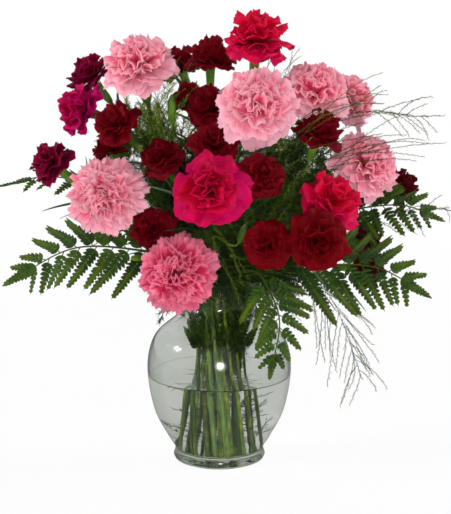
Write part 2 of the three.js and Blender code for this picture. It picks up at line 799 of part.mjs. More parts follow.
for (const name of Object.keys(blooms)) {
  const solid = makeBloom(name);
  stand(name, solid);
  add(name, solid, name.split("_")[0], seatOf(name).top);
}
for (const plan of fronds) {
  const solid = makeFrond(plan);
  stand(plan.name, solid);
  add(plan.name, solid, "fern", lowerEnds(plan.slot)[0]);
}
for (const plan of plumes) {
  const solid = makePlume(plan);
  stand(plan.name, solid);
  add(plan.name, solid, "asparagus", lowerEnds(plan.slot)[0]);
}
add("water", makeWater([...flowerStems, ...fronds, ...plumes].map((plan) => plan.hole)), "water");

export default arrangement;
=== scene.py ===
import math

import bpy
import numpy as np
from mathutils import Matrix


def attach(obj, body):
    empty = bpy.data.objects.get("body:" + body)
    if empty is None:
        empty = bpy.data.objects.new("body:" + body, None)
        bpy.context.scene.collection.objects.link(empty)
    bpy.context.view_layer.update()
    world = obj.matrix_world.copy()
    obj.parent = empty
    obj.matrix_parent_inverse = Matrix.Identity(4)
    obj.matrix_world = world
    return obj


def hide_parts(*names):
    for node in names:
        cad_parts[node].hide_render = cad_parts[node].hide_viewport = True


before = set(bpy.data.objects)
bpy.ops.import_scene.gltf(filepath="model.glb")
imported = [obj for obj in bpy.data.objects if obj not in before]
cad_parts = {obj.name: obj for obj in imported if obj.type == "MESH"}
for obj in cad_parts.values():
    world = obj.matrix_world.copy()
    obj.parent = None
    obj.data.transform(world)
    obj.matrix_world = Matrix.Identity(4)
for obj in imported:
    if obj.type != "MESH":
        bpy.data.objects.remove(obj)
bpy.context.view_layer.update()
mm = 0.001


# Small tools

def unit(vector):
    vector = np.asarray(vector, float)
    return vector / np.linalg.norm(vector)


def units(vectors):  # the same for every row
    return vectors / np.linalg.norm(vectors, axis=-1, keepdims=True)


def smoothStep(low, high, x):
    t = np.clip((x - low) / (high - low), 0, 1)
    return t * t * (3 - 2 * t)


def facingMatrix(axis, spin=0.0):  # rows are sideways, across and along the axis
    axis = unit(axis)
    side = unit(np.cross(axis, (0.31, 0.95, 0.12)))
    up = np.cross(axis, side)
    c, s = math.cos(spin), math.sin(spin)
    return np.array([c * side + s * up, c * up - s * side, axis])


def curveThrough(points, count):  # a smooth line through all the points, as the CAD draws it
    points = np.asarray(points, float)
    padded = np.concatenate([2 * points[:1] - points[1:2], points, 2 * points[-1:] - points[-2:-1]])
    places = np.linspace(0, len(points) - 1, count)
    first = np.minimum(places.astype(int), len(points) - 2)
    t = (places - first)[:, None]
    a, b, c, d = (padded[first + k] for k in range(4))
    return 0.5 * (2 * b + (c - a) * t + (2 * a - 5 * b + 4 * c - d) * t**2 + (3 * b - a - 3 * c + d) * t**3)


def cubicCurve(guides, t):  # the smooth curve that four guides give
    a, b, c, d = guides
    return (1 - t) ** 3 * a + 3 * (1 - t) ** 2 * t * b + 3 * (1 - t) * t**2 * c + t**3 * d


def cubicSlope(guides, t):  # which way that curve runs
    a, b, c, d = guides
    return (1 - t) ** 2 * (b - a) + 2 * (1 - t) * t * (c - b) + t**2 * (d - c)


def guidedCurve(guides, count):
    return cubicCurve([np.array(guide, float) for guide in guides], np.linspace(0, 1, count)[:, None])


def lineLength(points):
    return np.linalg.norm(np.diff(points, axis=0), axis=1).sum()


def alongLine(points, shares):  # places and directions at shares of a line's length
    points = np.asarray(points, float)
    steps = np.linalg.norm(np.diff(points, axis=0), axis=1)
    marks = np.concatenate([[0], np.cumsum(steps)]) / steps.sum()

    def atShares(values):
        return np.stack([np.interp(shares, marks, values[:, k]) for k in range(3)], axis=-1)

    return atShares(points), units(atShares(np.gradient(points, marks, axis=0)))


def atHeight(route, height):  # the place where a rising line passes a height
    return np.array([np.interp(height, route[:, 2], route[:, k]) for k in range(3)])


def evenly(points, gap):  # the line in steps of about one gap, and its length
    points = np.asarray(points, float)
    length = lineLength(points)
    count = max(4, int(length / gap))
    return alongLine(points, np.linspace(0, 1, count))[0], length


def deselectAll():
    if bpy.context.mode != "OBJECT":
        bpy.ops.object.mode_set(mode="OBJECT")
    bpy.ops.object.select_all(action="DESELECT")


def activate(piece):
    deselectAll()
    piece.select_set(True)
    bpy.context.view_layer.objects.active = piece


def applyModifier(piece, kind, **settings):
    activate(piece)
    modifier = piece.modifiers.new(kind.lower(), kind)
    for key, value in settings.items():
        setattr(modifier, key, value)
    bpy.ops.object.modifier_apply(modifier=modifier.name)


def settle(piece):  # the place goes into the mesh, and the object back to the origin
    activate(piece)
    bpy.ops.object.transform_apply(location=True, rotation=True, scale=True)


def faceOut(piece):
    activate(piece)
    bpy.ops.object.mode_set(mode="EDIT")
    bpy.ops.mesh.select_all(action="SELECT")
    bpy.ops.mesh.remove_doubles(threshold=0.00001)
    bpy.ops.mesh.normals_make_consistent(inside=False)
    bpy.ops.object.mode_set(mode="OBJECT")


def smoothed(piece, angle):
    activate(piece)
    bpy.ops.object.shade_smooth_by_angle(angle=math.radians(angle))


def joined(name, pieces):
    deselectAll()
    for piece in pieces:
        piece.select_set(True)
    bpy.context.view_layer.objects.active = pieces[0]
    bpy.ops.object.join()
    pieces[0].name = pieces[0].data.name = name
    return pieces[0]


def blankOf(piece):  # a modelled blank as arrays, so that it can be copied many times
    mesh = piece.data
    points = np.array([v.co[:] for v in mesh.vertices])
    faces = np.array([f.vertices[:] for f in mesh.polygons])
    bpy.data.objects.remove(piece)
    return points, faces


def sheetBlank(columns, rows):  # a flat square sheet, across -1 to 1 and along 0 to 1
    deselectAll()
    bpy.ops.mesh.primitive_grid_add(x_subdivisions=columns, y_subdivisions=rows, size=2)
    points, faces = blankOf(bpy.context.object)
    return points[:, 0], (points[:, 1] + 1) / 2, faces


def sheetMap(across, along):
    return np.stack([(across + 1) / 2, along], axis=1)


def sheetMesh(name, shapes, faces, maps, tints, layer):  # many copies of one blank, each in its own shape
    count, size = shapes.shape[:2]
    allFaces = (faces[None] + size * np.arange(count)[:, None, None]).reshape(-1, faces.shape[1])
    mesh = bpy.data.meshes.new(name)
    mesh.from_pydata(shapes.reshape(-1, 3), [], allFaces.tolist())
    corners = np.empty(len(mesh.loops), int)
    mesh.loops.foreach_get("vertex_index", corners)
    spread = np.broadcast_to(maps, (count, size, 2)).reshape(-1, 2)
    mesh.uv_layers.new(name=layer).data.foreach_set("uv", spread[corners].astype(np.float32).ravel())
    colours = np.concatenate([tints, np.ones((count, 1))], axis=1)
    colours = np.repeat(colours, size, axis=0).astype(np.float32)
    mesh.attributes.new("tint", "FLOAT_COLOR", "POINT").data.foreach_set("color", colours.ravel())
    mesh.polygons.foreach_set("use_smooth", [True] * len(mesh.polygons))
    mesh.update()
    piece = bpy.data.objects.new(name, mesh)
    bpy.context.collection.objects.link(piece)
    return piece


def finishPiece(piece, material, node):
    piece.data.materials.append(material)
    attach(piece, "root")
    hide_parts(node)


# Materials: a Wire is a socket that Python sums work on, and a Paint holds one material's nodes

class Wire:
    def __init__(self, paint, socket):
        self.paint = paint
        self.socket = socket

    def maths(self, operation, first, second):
        return self.paint.add("ShaderNodeMath", {"operation": operation}, {0: first, 1: second})

    def __add__(self, other):
        return self.maths("ADD", self, other)

    def __radd__(self, other):
        return self.maths("ADD", other, self)

    def __sub__(self, other):
        return self.maths("SUBTRACT", self, other)

    def __rsub__(self, other):
        return self.maths("SUBTRACT", other, self)

    def __mul__(self, other):
        return self.maths("MULTIPLY", self, other)

    def __rmul__(self, other):
        return self.maths("MULTIPLY", other, self)


class Paint:
    def __init__(self, name, tree=None):
        if tree is None:
            self.material = bpy.data.materials.new(name)
            self.material.use_nodes = True
            tree = self.material.node_tree
        self.tree = tree
        self.tree.nodes.clear()

    def add(self, kind, settings=None, sockets=None, take=0):
        node = self.tree.nodes.new(kind)
        for key, value in (settings or {}).items():
            if key == "stops":
                self.setStops(node.color_ramp, value)
            else:
                setattr(node, key, value)
        for key, value in (sockets or {}).items():
            socket = node.inputs[key]
            if isinstance(value, Wire):
                self.tree.links.new(value.socket, socket)
            elif socket.type == "RGBA" and len(value) == 3:
                socket.default_value = (*value, 1)
            else:
                socket.default_value = value
        return Wire(self, node.outputs[take]) if len(node.outputs) else node

    def setStops(self, ramp, stops):
        while len(ramp.elements) > 1:
            ramp.elements.remove(ramp.elements[-1])
        for k, (place, colour) in enumerate(stops):
            element = ramp.elements[0] if k == 0 else ramp.elements.new(place)
            element.position = place
            element.color = (*colour, 1)

    def noise(self, where, scale, detail=3.0):
        return self.add("ShaderNodeTexNoise", {}, {"Vector": where, "Scale": scale, "Detail": detail})

    def stretched(self, where, scale):
        return self.add("ShaderNodeMapping", {}, {"Vector": where, "Scale": scale})

    def objectPlace(self):
        return self.add("ShaderNodeTexCoord", {}, {}, take="Object")

    def mapPlace(self, layer):
        return self.add("ShaderNodeUVMap", {"uv_map": layer})

    def parts(self, vector):
        node = self.add("ShaderNodeSeparateXYZ", {}, {0: vector}).socket.node
        return [Wire(self, output) for output in node.outputs]

    def tint(self):
        colour = self.add("ShaderNodeAttribute", {"attribute_name": "tint"}, take="Color")
        return self.parts(colour)

    def ranged(self, value, low, high, newLow, newHigh):
        return self.add("ShaderNodeMapRange", {}, {0: value, 1: low, 2: high, 3: newLow, 4: newHigh})

    def ramp(self, value, stops):
        return self.add("ShaderNodeValToRGB", {"stops": stops}, {0: value})

    def blend(self, factor, first, second, how="MIX"):
        settings = {"data_type": "RGBA", "blend_type": how}
        return self.add("ShaderNodeMix", settings, {0: factor, 6: first, 7: second}, take=2)

    def toned(self, colour, tone):  # the whole colour lighter or darker
        grey = self.add("ShaderNodeCombineColor", {}, {0: tone, 1: tone, 2: tone})
        return self.blend(1.0, colour, grey, "MULTIPLY")

    def bump(self, height, distance, strength):
        return self.add("ShaderNodeBump", {}, {"Height": height, "Distance": distance, "Strength": strength})

    def finish(self, sockets, surface=None):
        shader = surface or self.add("ShaderNodeBsdfPrincipled", {}, sockets)
        self.add("ShaderNodeOutputMaterial", {}, {"Surface": shader})
        return self.material


print("camera, lights and floor")

studio = {
    "cameraPlace": (0.0065, -1.36, 0.465),
    "cameraTilt": 79.45,  # degrees from looking straight down
    "lens": 95.25,
    "sky": 0.55,
    "skyFront": 0.36,  # the room behind the camera is darker than the one behind the vase
    "skyBack": 1.25,
    "insideShine": 0.2,  # how much of the white is mirrored inside the vase
    "throughGlass": 0.64,  # the white behind the vase, as it is seen through the glass
    "key": {"place": (-1.8, -0.2, 1.2), "size": 1.2, "power": 20},
    "fill": {"place": (1.6, 0.25, 1.1), "size": 1.2, "power": 12},
    "front": {"place": (0.05, -1.5, 0.45), "size": 0.85, "power": 10.5},
    "aim": (0, 0, 0.25),  # where the lamps point
    "peak": 28.0,  # the middle of a lamp against its mean
    "floorSize": 900,
    "floorGlow": (0.9, 1.0),  # how much of the floor's own white is seen, near the vase and far off
}


def lookTowards(piece, target):
    x, y, z = np.array(target) - np.array(piece.location)
    piece.rotation_euler = (math.atan2(math.hypot(x, y), -z), 0, math.atan2(y, x) - math.pi / 2)


def softLight(name, place, size, power):  # a round lamp that is brightest in its middle
    light = bpy.data.lights.new(name, "AREA")
    light.shape = "DISK"
    light.energy = power
    light.size = size
    light.use_nodes = True
    paint = Paint("", light.node_tree)
    spot = paint.add("ShaderNodeVectorMath", {"operation": "SUBTRACT"}, {
        0: paint.add("ShaderNodeNewGeometry", take="Parametric"),
        1: (0.5, 0.5, 0.0),
    })
    away = paint.add("ShaderNodeVectorMath", {"operation": "LENGTH"}, {0: spot}, take="Value")
    near = paint.ranged(away, 0.0, 0.5, 1.0, 0.0)
    cube = near * near * near
    strength = cube * cube * studio["peak"]
    shine = paint.add("ShaderNodeEmission", {}, {"Color": (1, 1, 1), "Strength": strength})
    paint.add("ShaderNodeOutputLight", {}, {"Surface": shine})
    lamp = bpy.data.objects.new(name, light)
    lamp.location = place
    bpy.context.collection.objects.link(lamp)
    lookTowards(lamp, studio["aim"])
    lamp.visible_transmission = False  # so that it shines on the glass and doesn't flare through the water


def seenRay(paint):  # 1 for what the camera sees, also through glass, and part of it for what mirrors inside
    def path(output):
        return paint.ranged(paint.add("ShaderNodeLightPath", take=output), 0.0, 1.0, 0.0, 1.0)

    mirrored = path("Glossy Depth")
    straight = path("Is Camera Ray") + path("Is Transmission Ray") * (1.0 - mirrored)
    inside = mirrored * path("Transmission Depth") * studio["insideShine"]
    return (1.0 - path("Diffuse Depth")) * (straight + inside)


def seenWhite(paint):  # how bright the white is, seen straight or through the glass
    through = paint.add("ShaderNodeLightPath", take="Is Transmission Ray")
    return 1.0 - through * (1 - studio["throughGlass"])


def skyPaint(world):
    paint = Paint("", world.node_tree)
    _, back, _ = paint.parts(paint.add("ShaderNodeTexCoord", take="Generated"))
    backness = paint.ranged(back, -1.0, 0.9, studio["skyFront"], studio["skyBack"])
    light = paint.add("ShaderNodeBackground", {}, {"Color": (1, 1, 1), "Strength": backness * studio["sky"]})
    white = paint.add("ShaderNodeBackground", {}, {"Color": (1, 1, 1), "Strength": seenWhite(paint)})
    both = paint.add("ShaderNodeMixShader", {}, {0: seenRay(paint), 1: light, 2: white})
    paint.add("ShaderNodeOutputWorld", {}, {"Surface": both})


def floorPaint():
    paint = Paint("pale floor")
    grain = paint.noise(paint.objectPlace(), 6.0)
    colour = paint.ramp(grain, [(0.3, (0.93, 0.93, 0.93)), (0.7, (0.95, 0.95, 0.95))])
    mirrored = paint.ranged(paint.add("ShaderNodeLightPath", take="Glossy Depth"), 0.0, 1.0, 0.0, 0.8)
    colour = paint.blend(mirrored, colour, (0, 0, 0))  # so that it doesn't veil the stems in the vase
    rough = paint.ranged(grain, 0, 1, 0.6, 0.8)
    matt = paint.add("ShaderNodeBsdfPrincipled", {}, {"Base Color": colour, "Roughness": rough})
    glow = paint.add("ShaderNodeEmission", {}, {"Color": (1, 1, 1), "Strength": seenWhite(paint)})
    away = paint.add("ShaderNodeVectorMath", {"operation": "LENGTH"}, {0: paint.objectPlace()}, take="Value")
    share = seenRay(paint) * paint.ranged(away, 0.2, 1.6, *studio["floorGlow"])
    return paint.finish({}, paint.add("ShaderNodeMixShader", {}, {0: share, 1: matt, 2: glow}))


camera = bpy.data.objects.new("camera", bpy.data.cameras.new("camera"))
camera.location = studio["cameraPlace"]
camera.rotation_euler = (math.radians(studio["cameraTilt"]), 0, 0)
camera.data.lens = studio["lens"]
bpy.context.collection.objects.link(camera)
bpy.context.scene.camera = camera
for lamp in ("key", "fill", "front"):
    softLight(lamp, **studio[lamp])
bpy.context.scene.world = bpy.data.worlds.new("studio")
bpy.context.scene.world.use_nodes = True
skyPaint(bpy.context.scene.world)
bpy.context.scene.view_settings.view_transform = "Standard"

deselectAll()
bpy.ops.mesh.primitive_plane_add(size=studio["floorSize"], location=(0, 0, -0.0002))
floor = bpy.context.object
floor.name = "floor"
settle(floor)
floor.data.materials.append(floorPaint())


print("vase and water")

vase = {
    "outline": [  # radius and height in mm
        (44, 0), (47.5, 4), (45.8, 13), (54, 27), (67.5, 55), (74, 97),
        (67, 129), (46, 149), (32, 161), (35, 176), (46, 191),
    ],
    "wall": 2.6,
    "footExtra": 2.4,  # how much thicker the glass is at the foot
    "lipLess": 0.5,  # and how much thinner at the lip
    "baseInside": 9,  # height of the inside floor
    "punt": 2.2,  # how far the underside is hollowed
    "rings": 72,
    "sides": 128,
}
water = {"level": 90, "overlap": 0.25, "climb": 1.3}  # its height, its reach into the glass and up the wall


def outsideLine(count):
    line = [(r, 0, z) for r, z in vase["outline"]]
    padded = [line[0], *line, line[-1]]  # the CAD's curve repeats its end points
    perSpan = 12
    fine = curveThrough(padded, perSpan * len(padded))
    return alongLine(fine[perSpan:-perSpan], np.linspace(0, 1, count))


def lathed(name, profile, sides):  # a line is drawn by extruding one point, then spun round the axis
    deselectAll()
    bpy.ops.mesh.primitive_plane_add(size=0.001, location=(0, 0, 0))
    piece = bpy.context.object
    piece.name = piece.data.name = name
    bpy.ops.object.mode_set(mode="EDIT")
    bpy.ops.mesh.merge(type="CENTER")
    bpy.ops.transform.translate(value=(profile[0][0] * mm, 0, profile[0][1] * mm))
    for (r0, z0), (r1, z1) in zip(profile, profile[1:]):
        step = ((r1 - r0) * mm, 0, (z1 - z0) * mm)
        bpy.ops.mesh.extrude_region_move(TRANSFORM_OT_translate={"value": step})
    bpy.ops.mesh.select_all(action="SELECT")
    bpy.ops.mesh.spin(steps=sides, angle=2 * math.pi, center=(0, 0, 0), axis=(0, 0, 1))
    bpy.ops.object.mode_set(mode="OBJECT")
    settle(piece)
    faceOut(piece)
    return piece


def vaseLines():
    places, tangents = outsideLine(vase["rings"])
    outer = places[:, [0, 2]]
    normal = np.stack([tangents[:, 2], -tangents[:, 0]], axis=1)
    height = outer[:, 1]
    thick = vase["footExtra"] * (1 - smoothStep(9, 34, height))
    wall = vase["wall"] + thick - vase["lipLess"] * smoothStep(150, 185, height)
    inner = outer - normal * wall[:, None]
    inner = inner[(height > 14) & (inner[:, 1] > vase["baseInside"] + 3)]
    return outer, inner


def bowlLine(corner, base, first, last):  # the rounded bottom of the hollow, between two angles
    def bowlPoint(a):
        return corner[0] * math.cos(a) ** 0.7, base + (corner[1] - base) * (1 - math.sin(a)) ** 1.6

    return [bowlPoint(a) for a in np.linspace(first, last, 7)]


def makeVase():
    outer, inner = vaseLines()
    under = [(0, vase["punt"]), (16, vase["punt"]), (30, 0.8 * vase["punt"]), (39, 0.5), (42, 0.0)]
    middle = (outer[-1] + inner[-1]) / 2
    side = (outer[-1] - inner[-1]) / 2
    rise = unit(outer[-1] - outer[-2]) * 0.9 * np.linalg.norm(side)
    rim = [middle + side * math.cos(a) + rise * math.sin(a) for a in np.linspace(0, math.pi, 9)]
    base = vase["baseInside"]
    inside = list(inner[::-1])
    bowl = bowlLine(inside[-1], base, 0.2, 1.4)
    profile = under + list(outer[1:-1]) + rim + inside[1:] + bowl + [(0, base)]
    return lathed("vase_glass", profile, vase["sides"])


def makeWater():
    _, inner = vaseLines()
    level, climb, overlap = water["level"], water["climb"], water["overlap"]
    wet = [p for p in inner if p[1] < level]
    base = vase["baseInside"] - overlap
    skin = [(r + overlap, z) for r, z in wet]
    reach = skin[-1][0]
    top = [  # it climbs a little where it meets the glass
        (reach, level + climb), (reach - 0.9, level + 0.35 * climb), (reach - 2.4, level + 0.08),
        (reach - 5, level), (30, level), (0, level),
    ]
    profile = [(0, base)] + bowlLine(wet[0], base, 1.4, 0.2) + skin + top
    return lathed("vase_water", profile, vase["sides"])


def vaseGap(points, outside):  # how far a line keeps from the glass in mm, above the rim it is free
    fine = alongLine(points, np.linspace(0, 1, 40))[0]
    low = fine[fine[:, 2] < vase["outline"][-1][1] + 5]
    if not len(low):
        return 99.0
    places, _ = outsideLine(vase["rings"])
    away = np.hypot(low[:, 0], low[:, 1]) - np.interp(low[:, 2], places[:, 2], places[:, 0])
    return away.min() if outside else (-away).min() - vase["wall"]


def glassPaint():
    paint = Paint("pale green glass")
    place = paint.objectPlace()
    ripple = paint.noise(paint.stretched(place, (22, 22, 9)), 1.0, 2.0)
    seeds = paint.noise(place, 160.0, 2.0)
    colour = paint.ramp(ripple, [(0.3, (0.82, 0.85, 0.81)), (0.7, (0.96, 0.97, 0.95))])
    _, _, height = paint.parts(place)
    foot = paint.ranged(height, 0.004, 0.022, 0.8, 0.0)  # its thick glass is greener
    colour = paint.blend(foot, colour, (0.42, 0.5, 0.34))
    return paint.finish({
        "Base Color": colour,
        "Roughness": paint.ranged(seeds, 0.35, 0.75, 0.0, 0.03),
        "IOR": 1.5,
        "Transmission Weight": 1.0,
        "Coat Weight": 0.22,
        "Coat Roughness": 0.13,
        "Normal": paint.bump(ripple, 0.0012, 0.6),
    })


def waterPaint():
    paint = Paint("stem water")
    place = paint.objectPlace()
    cloud = paint.noise(paint.stretched(place, (14, 14, 20)), 1.0, 3.0)
    colour = paint.ramp(cloud, [(0.3, (0.955, 0.98, 0.93)), (0.7, (0.98, 0.995, 0.965))])
    ripples = paint.noise(paint.stretched(place, (60, 60, 0)), 1.0, 1.0)
    _, deep, height = paint.parts(place)
    level = water["level"] * mm
    # painted shade: a dark line is painted round the water's edge for the meniscus, darker in front
    rim = paint.ranged(height, level - 0.0001, level + 0.0004, 0.0, 1.0)
    rim = rim * paint.ranged(deep, -0.02, 0.02, 1.0, 0.3)  # darker in front
    colour = paint.blend(rim, colour, (0.2, 0.26, 0.16))
    leaving = paint.add("ShaderNodeNewGeometry", take="Backfacing")
    return paint.finish({
        "Base Color": colour,
        "Roughness": paint.ranged(cloud, 0.4, 0.9, 0.0, 0.02),
        "Alpha": 1.0 - leaving,  # light bends where it enters, and leaves without being caught inside
        "IOR": 1.333,
        "Specular IOR Level": 0.15,
        "Transmission Weight": 1.0,
        "Normal": paint.bump(ripples, 0.0006, 0.35),
    })


for piece, material, slot, node in (
    (makeVase(), glassPaint(), "vase_glass", "vase"),
    (makeWater(), waterPaint(), "water", "water"),
):
    smoothed(piece, 75)
    finishPiece(piece, material, node)
    piece.visible_shadow = False  # the lamps reach the stems through it


print("blooms")

pinkKind = {  # a broad pale skirt under a crumpled heart
    "rings": [  # petals, how far out (1 skirt, 0 heart), lean in degrees, reach, half width, ruffle
        (9, 1.0, 98, 1.0, 0.48, 0.04), (9, 0.86, 83, 0.98, 0.44, 0.06), (9, 0.66, 62, 0.95, 0.42, 0.08),
        (9, 0.45, 43, 0.93, 0.35, 0.1), (7, 0.27, 26, 0.9, 0.33, 0.11), (4, 0.1, 11, 0.86, 0.3, 0.11),
    ],
    "across": 20, "along": 6, "waves": 2.6, "teeth": 0.018,
    "uneven": 0.1, "hollow": 0.08, "scallop": 0.05, "swell": 1.0,
    "calyx": {"length": 27, "radius": 7, "stem": 2.4},
}
fullKind = {  # a crowded pompom of narrow petals
    "rings": [
        (11, 1.0, 96, 1.0, 0.36, 0.045), (11, 0.84, 80, 0.97, 0.34, 0.065), (12, 0.64, 60, 0.95, 0.3, 0.09),
        (11, 0.44, 43, 0.93, 0.27, 0.105), (9, 0.26, 27, 0.91, 0.25, 0.11), (6, 0.1, 12, 0.88, 0.24, 0.11),
    ],
    "across": 20, "along": 6, "waves": 3.0, "teeth": 0.026,
    "uneven": 0.09, "hollow": 0.07, "scallop": 0.07, "swell": 1.0,
    "calyx": {"length": 27, "radius": 7, "stem": 2.4},
}
middleKind = {  # a few large smooth lobes round a ruffled ball
    "rings": [
        (6, 1.0, 97, 1.0, 0.62, 0.085), (6, 0.82, 76, 0.99, 0.56, 0.09), (7, 0.6, 57, 0.97, 0.46, 0.105),
        (6, 0.4, 39, 0.96, 0.4, 0.115), (5, 0.18, 20, 0.94, 0.36, 0.12), (2, 0.0, 3, 0.92, 0.38, 0.15),
    ],
    "across": 18, "along": 6, "waves": 1.9, "teeth": 0.016,
    "uneven": 0.28, "hollow": 0.07, "scallop": 0.13, "swell": 1.06,
    "calyx": {"length": 24, "radius": 5.5, "stem": 2.0},
}
smallKind = {
    "rings": [
        (6, 1.0, 97, 1.0, 0.6, 0.085), (6, 0.8, 74, 1.0, 0.55, 0.1), (6, 0.55, 54, 1.0, 0.48, 0.115),
        (5, 0.32, 34, 0.99, 0.43, 0.12), (3, 0.12, 16, 0.97, 0.4, 0.125), (2, 0.0, 3, 0.93, 0.38, 0.15),
    ],
    "across": 14, "along": 5, "waves": 1.5, "teeth": 0.018,
    "uneven": 0.2, "hollow": 0.1, "scallop": 0.12, "swell": 1.15,
    "calyx": {"length": 22, "radius": 4.6, "stem": 1.7},
}
thinKind = {**middleKind, "calyx": smallKind["calyx"]}  # the same head on a thinner stem


def bloom(kind, at, faces, width, finish, **more):
    return {"kind": kind, "at": at, "faces": faces, "width": width, "finish": finish, **more}


blooms = {  # the kind, the middle of the head, the way it faces, its width in mm and its finish
    "pink_1": bloom(pinkKind, (-78, -20, 408), (-0.15, -0.45, 0.88), 78, "pink"),
    "pink_2": bloom(fullKind, (-109, -75, 286), (-0.25, -0.88, 0.38), 80, "pink"),
    "pink_3": bloom(fullKind, (-39, -105, 215), (-0.08, -1, 0.08), 80, "coral"),
    "pink_4": bloom(pinkKind, (37, -60, 372), (0.02, -0.72, 0.68), 84, "pink"),
    "pink_5": bloom(pinkKind, (96, 0, 381), (0.1, -0.5, 0.85), 76, "pink"),
    "pink_6": bloom(pinkKind, (136, 66, 367), (0.75, 0.35, 0.5), 66, "pink"),
    "pink_7": bloom(pinkKind, (149, -15, 309), (0.66, -0.5, 0.5), 78, "pink"),
    "magenta_1": bloom(middleKind, (38, -5, 434), (0.1, -0.15, 0.97), 70, "crimson", droop=26),
    "magenta_2": bloom(middleKind, (-7, -120, 298), (0.05, -0.92, 0.35), 74, "magenta"),
    "magenta_3": bloom(thinKind, (-136, 8, 360), (-0.8, -0.2, 0.3), 54, "purple", swell=1.22),
    "magenta_4": bloom(smallKind, (106, -60, 275), (0.35, -0.5, 0.8), 52, "crimson", swell=1.4),
    "red_1": bloom(smallKind, (47, -88, 240), (-0.1, -0.97, 0.1), 46, "red"),
    "red_2": bloom(smallKind, (93, -100, 245), (0.1, -1, 0.02), 58, "red"),
    "dark_1": bloom(smallKind, (-166, -10, 309), (-0.6, -0.25, 0.6), 44, "plum"),
    "dark_2": bloom(smallKind, (-131, 50, 389), (-0.6, 0, 0.75), 43, "plum", swell=1.36),
    "dark_3": bloom(smallKind, (-100, -35, 350), (-0.5, -0.4, 0.6), 45, "dark"),
    "dark_4": bloom(smallKind, (-109, 25, 318), (-0.3, 0.3, 0.75), 41, "dark"),
    "dark_5": bloom(smallKind, (-41, 65, 402), (-0.35, 0.25, 0.85), 44, "dark"),
    "dark_6": bloom(smallKind, (-9, 35, 410), (0, -0.05, 0.98), 50, "dark"),
    "dark_7": bloom(smallKind, (-29, 25, 370), (-0.2, 0.3, 0.8), 40, "dark"),
    "dark_8": bloom(smallKind, (-11, -15, 364), (-0.1, -0.6, 0.7), 48, "dark"),
    "dark_9": bloom(smallKind, (-4, -45, 331), (0, -0.6, 0.75), 50, "dark"),
    "dark_10": bloom(smallKind, (-55, -30, 316), (-0.3, -0.4, 0.75), 45, "dark"),
    "dark_11": bloom(smallKind, (42, -75, 304), (0.5, -0.7, 0.35), 46, "dark"),
    "dark_12": bloom(smallKind, (-64, -52, 249), (-0.25, -0.85, 0.45), 46, "dark"),
    "dark_13": bloom(smallKind, (98, -27, 342), (0.25, -0.2, 0.85), 48, "dark"),
    # dark_14 to dark_16 wear a darker copy of the burgundy finish: painted shade for blooms at the back
    "dark_14": bloom(smallKind, (185, 37, 278), (0.85, 0.1, 0.25), 44, "shaded"),
    "dark_15": bloom(smallKind, (148, 17, 229), (0.75, 0.15, 0.45), 42, "shaded"),
    "dark_16": bloom(smallKind, (146, -32, 206), (0.8, -0.5, 0.05), 42, "shaded"),
}


def bloomSeat(name):
    plan = blooms[name]
    axis = unit(plan["faces"])
    return np.array(plan["at"]) - 0.225 * plan["width"] * axis, axis


petalThickness = 0.00034


def petalShape(across, along, kind, ring, radius, chance):  # no operator ruffles, so each point is placed
    lean, reach, wide, ruffle = ring
    tip = math.radians(lean) + chance.normal(0, 0.11)
    droop = tip + math.radians(chance.uniform(8, 32))
    length = radius * reach * (1.03 - kind["uneven"] * chance.uniform(0, 1.6))
    base = np.array([0.05 * radius, 0.0])
    end = np.array([length * math.sin(tip), 0.2 * radius + length * math.cos(tip)])
    before = end - 0.42 * length * np.array([math.sin(droop), math.cos(droop)])
    guides = (base, base + (0, 0.46 * length), before, end)
    rim = smoothStep(0.45, 1.0, along)
    column = np.round((across + 1) * kind["across"] / 2)
    teeth = np.where(column % 2 > 0.5, 1, -1) * chance.uniform(0.4, 1.3, len(across))
    first, second, third = chance.uniform(0, 2 * math.pi, 3)
    rounding = 1 - math.sqrt(1 - wide**2) + kind["scallop"]  # the corners keep within the bloom's circle
    corners = rounding * across**2 + 0.12 * across**6
    t = along * (1 - corners * along + 0.045 * along * np.sin(4.4 * across + third))
    t = (t + np.where(along > 0.99, kind["teeth"] * teeth, 0))[:, None]
    middle = cubicCurve(guides, t)
    slope = units(cubicSlope(guides, t))
    half = wide * radius * (0.14 + 0.86 * smoothStep(0.08, 0.95, along) ** 1.1) * chance.uniform(0.88, 1.12)
    waves = math.pi * kind["waves"] * chance.uniform(0.8, 1.25)
    wave = np.sin(waves * across + first) + 0.5 * rim * np.sin(2.1 * waves * across + second)
    cup = kind["hollow"] * radius * across**2 * along * chance.uniform(-0.3, 1.0)
    lift = ruffle * radius * smoothStep(0.22, 1.0, along) ** 1.5 * wave + cup
    sideways = across * half + 0.03 * radius * rim * np.sin(1.3 * waves * across + second)
    return np.stack([middle[:, 0] - lift * slope[:, 1], sideways, middle[:, 1] + lift * slope[:, 0]], axis=1)


def makeBloom(name, seed):
    plan = blooms[name]
    kind = plan["kind"]
    radius = plan.get("swell", kind["swell"]) * plan["width"] / 2
    chance = np.random.default_rng(seed)
    across, along, faces = sheetBlank(kind["across"], kind["along"])
    seat, axis = bloomSeat(name)
    seat = seat + axis * 0.3
    frameRows = facingMatrix(axis, chance.uniform(0, 2 * math.pi))
    own = chance.uniform()
    shapes, tints = [], []
    turn = 0.0
    for count, part, lean, *ring in kind["rings"]:
        ring = (lean + plan.get("droop", 0) * part**2, *ring)
        for k in range(count):
            around = turn + 2 * math.pi * k / count + chance.normal(0, 0.09)
            shape = petalShape(across, along, kind, ring, radius, chance)
            c, s = math.cos(around), math.sin(around)
            shape = shape @ np.array([[c, s, 0], [-s, c, 0], [0, 0, 1]])
            shapes.append(seat + shape @ frameRows)
            tints.append((chance.uniform(), part, own))
        turn += 1.3 * math.pi / count
    shapes = np.array(shapes) * mm
    piece = sheetMesh(name + "_petals", shapes, faces, sheetMap(across, along), np.array(tints), "petalMap")
    applyModifier(piece, "SOLIDIFY", thickness=petalThickness, offset=0)
    return piece


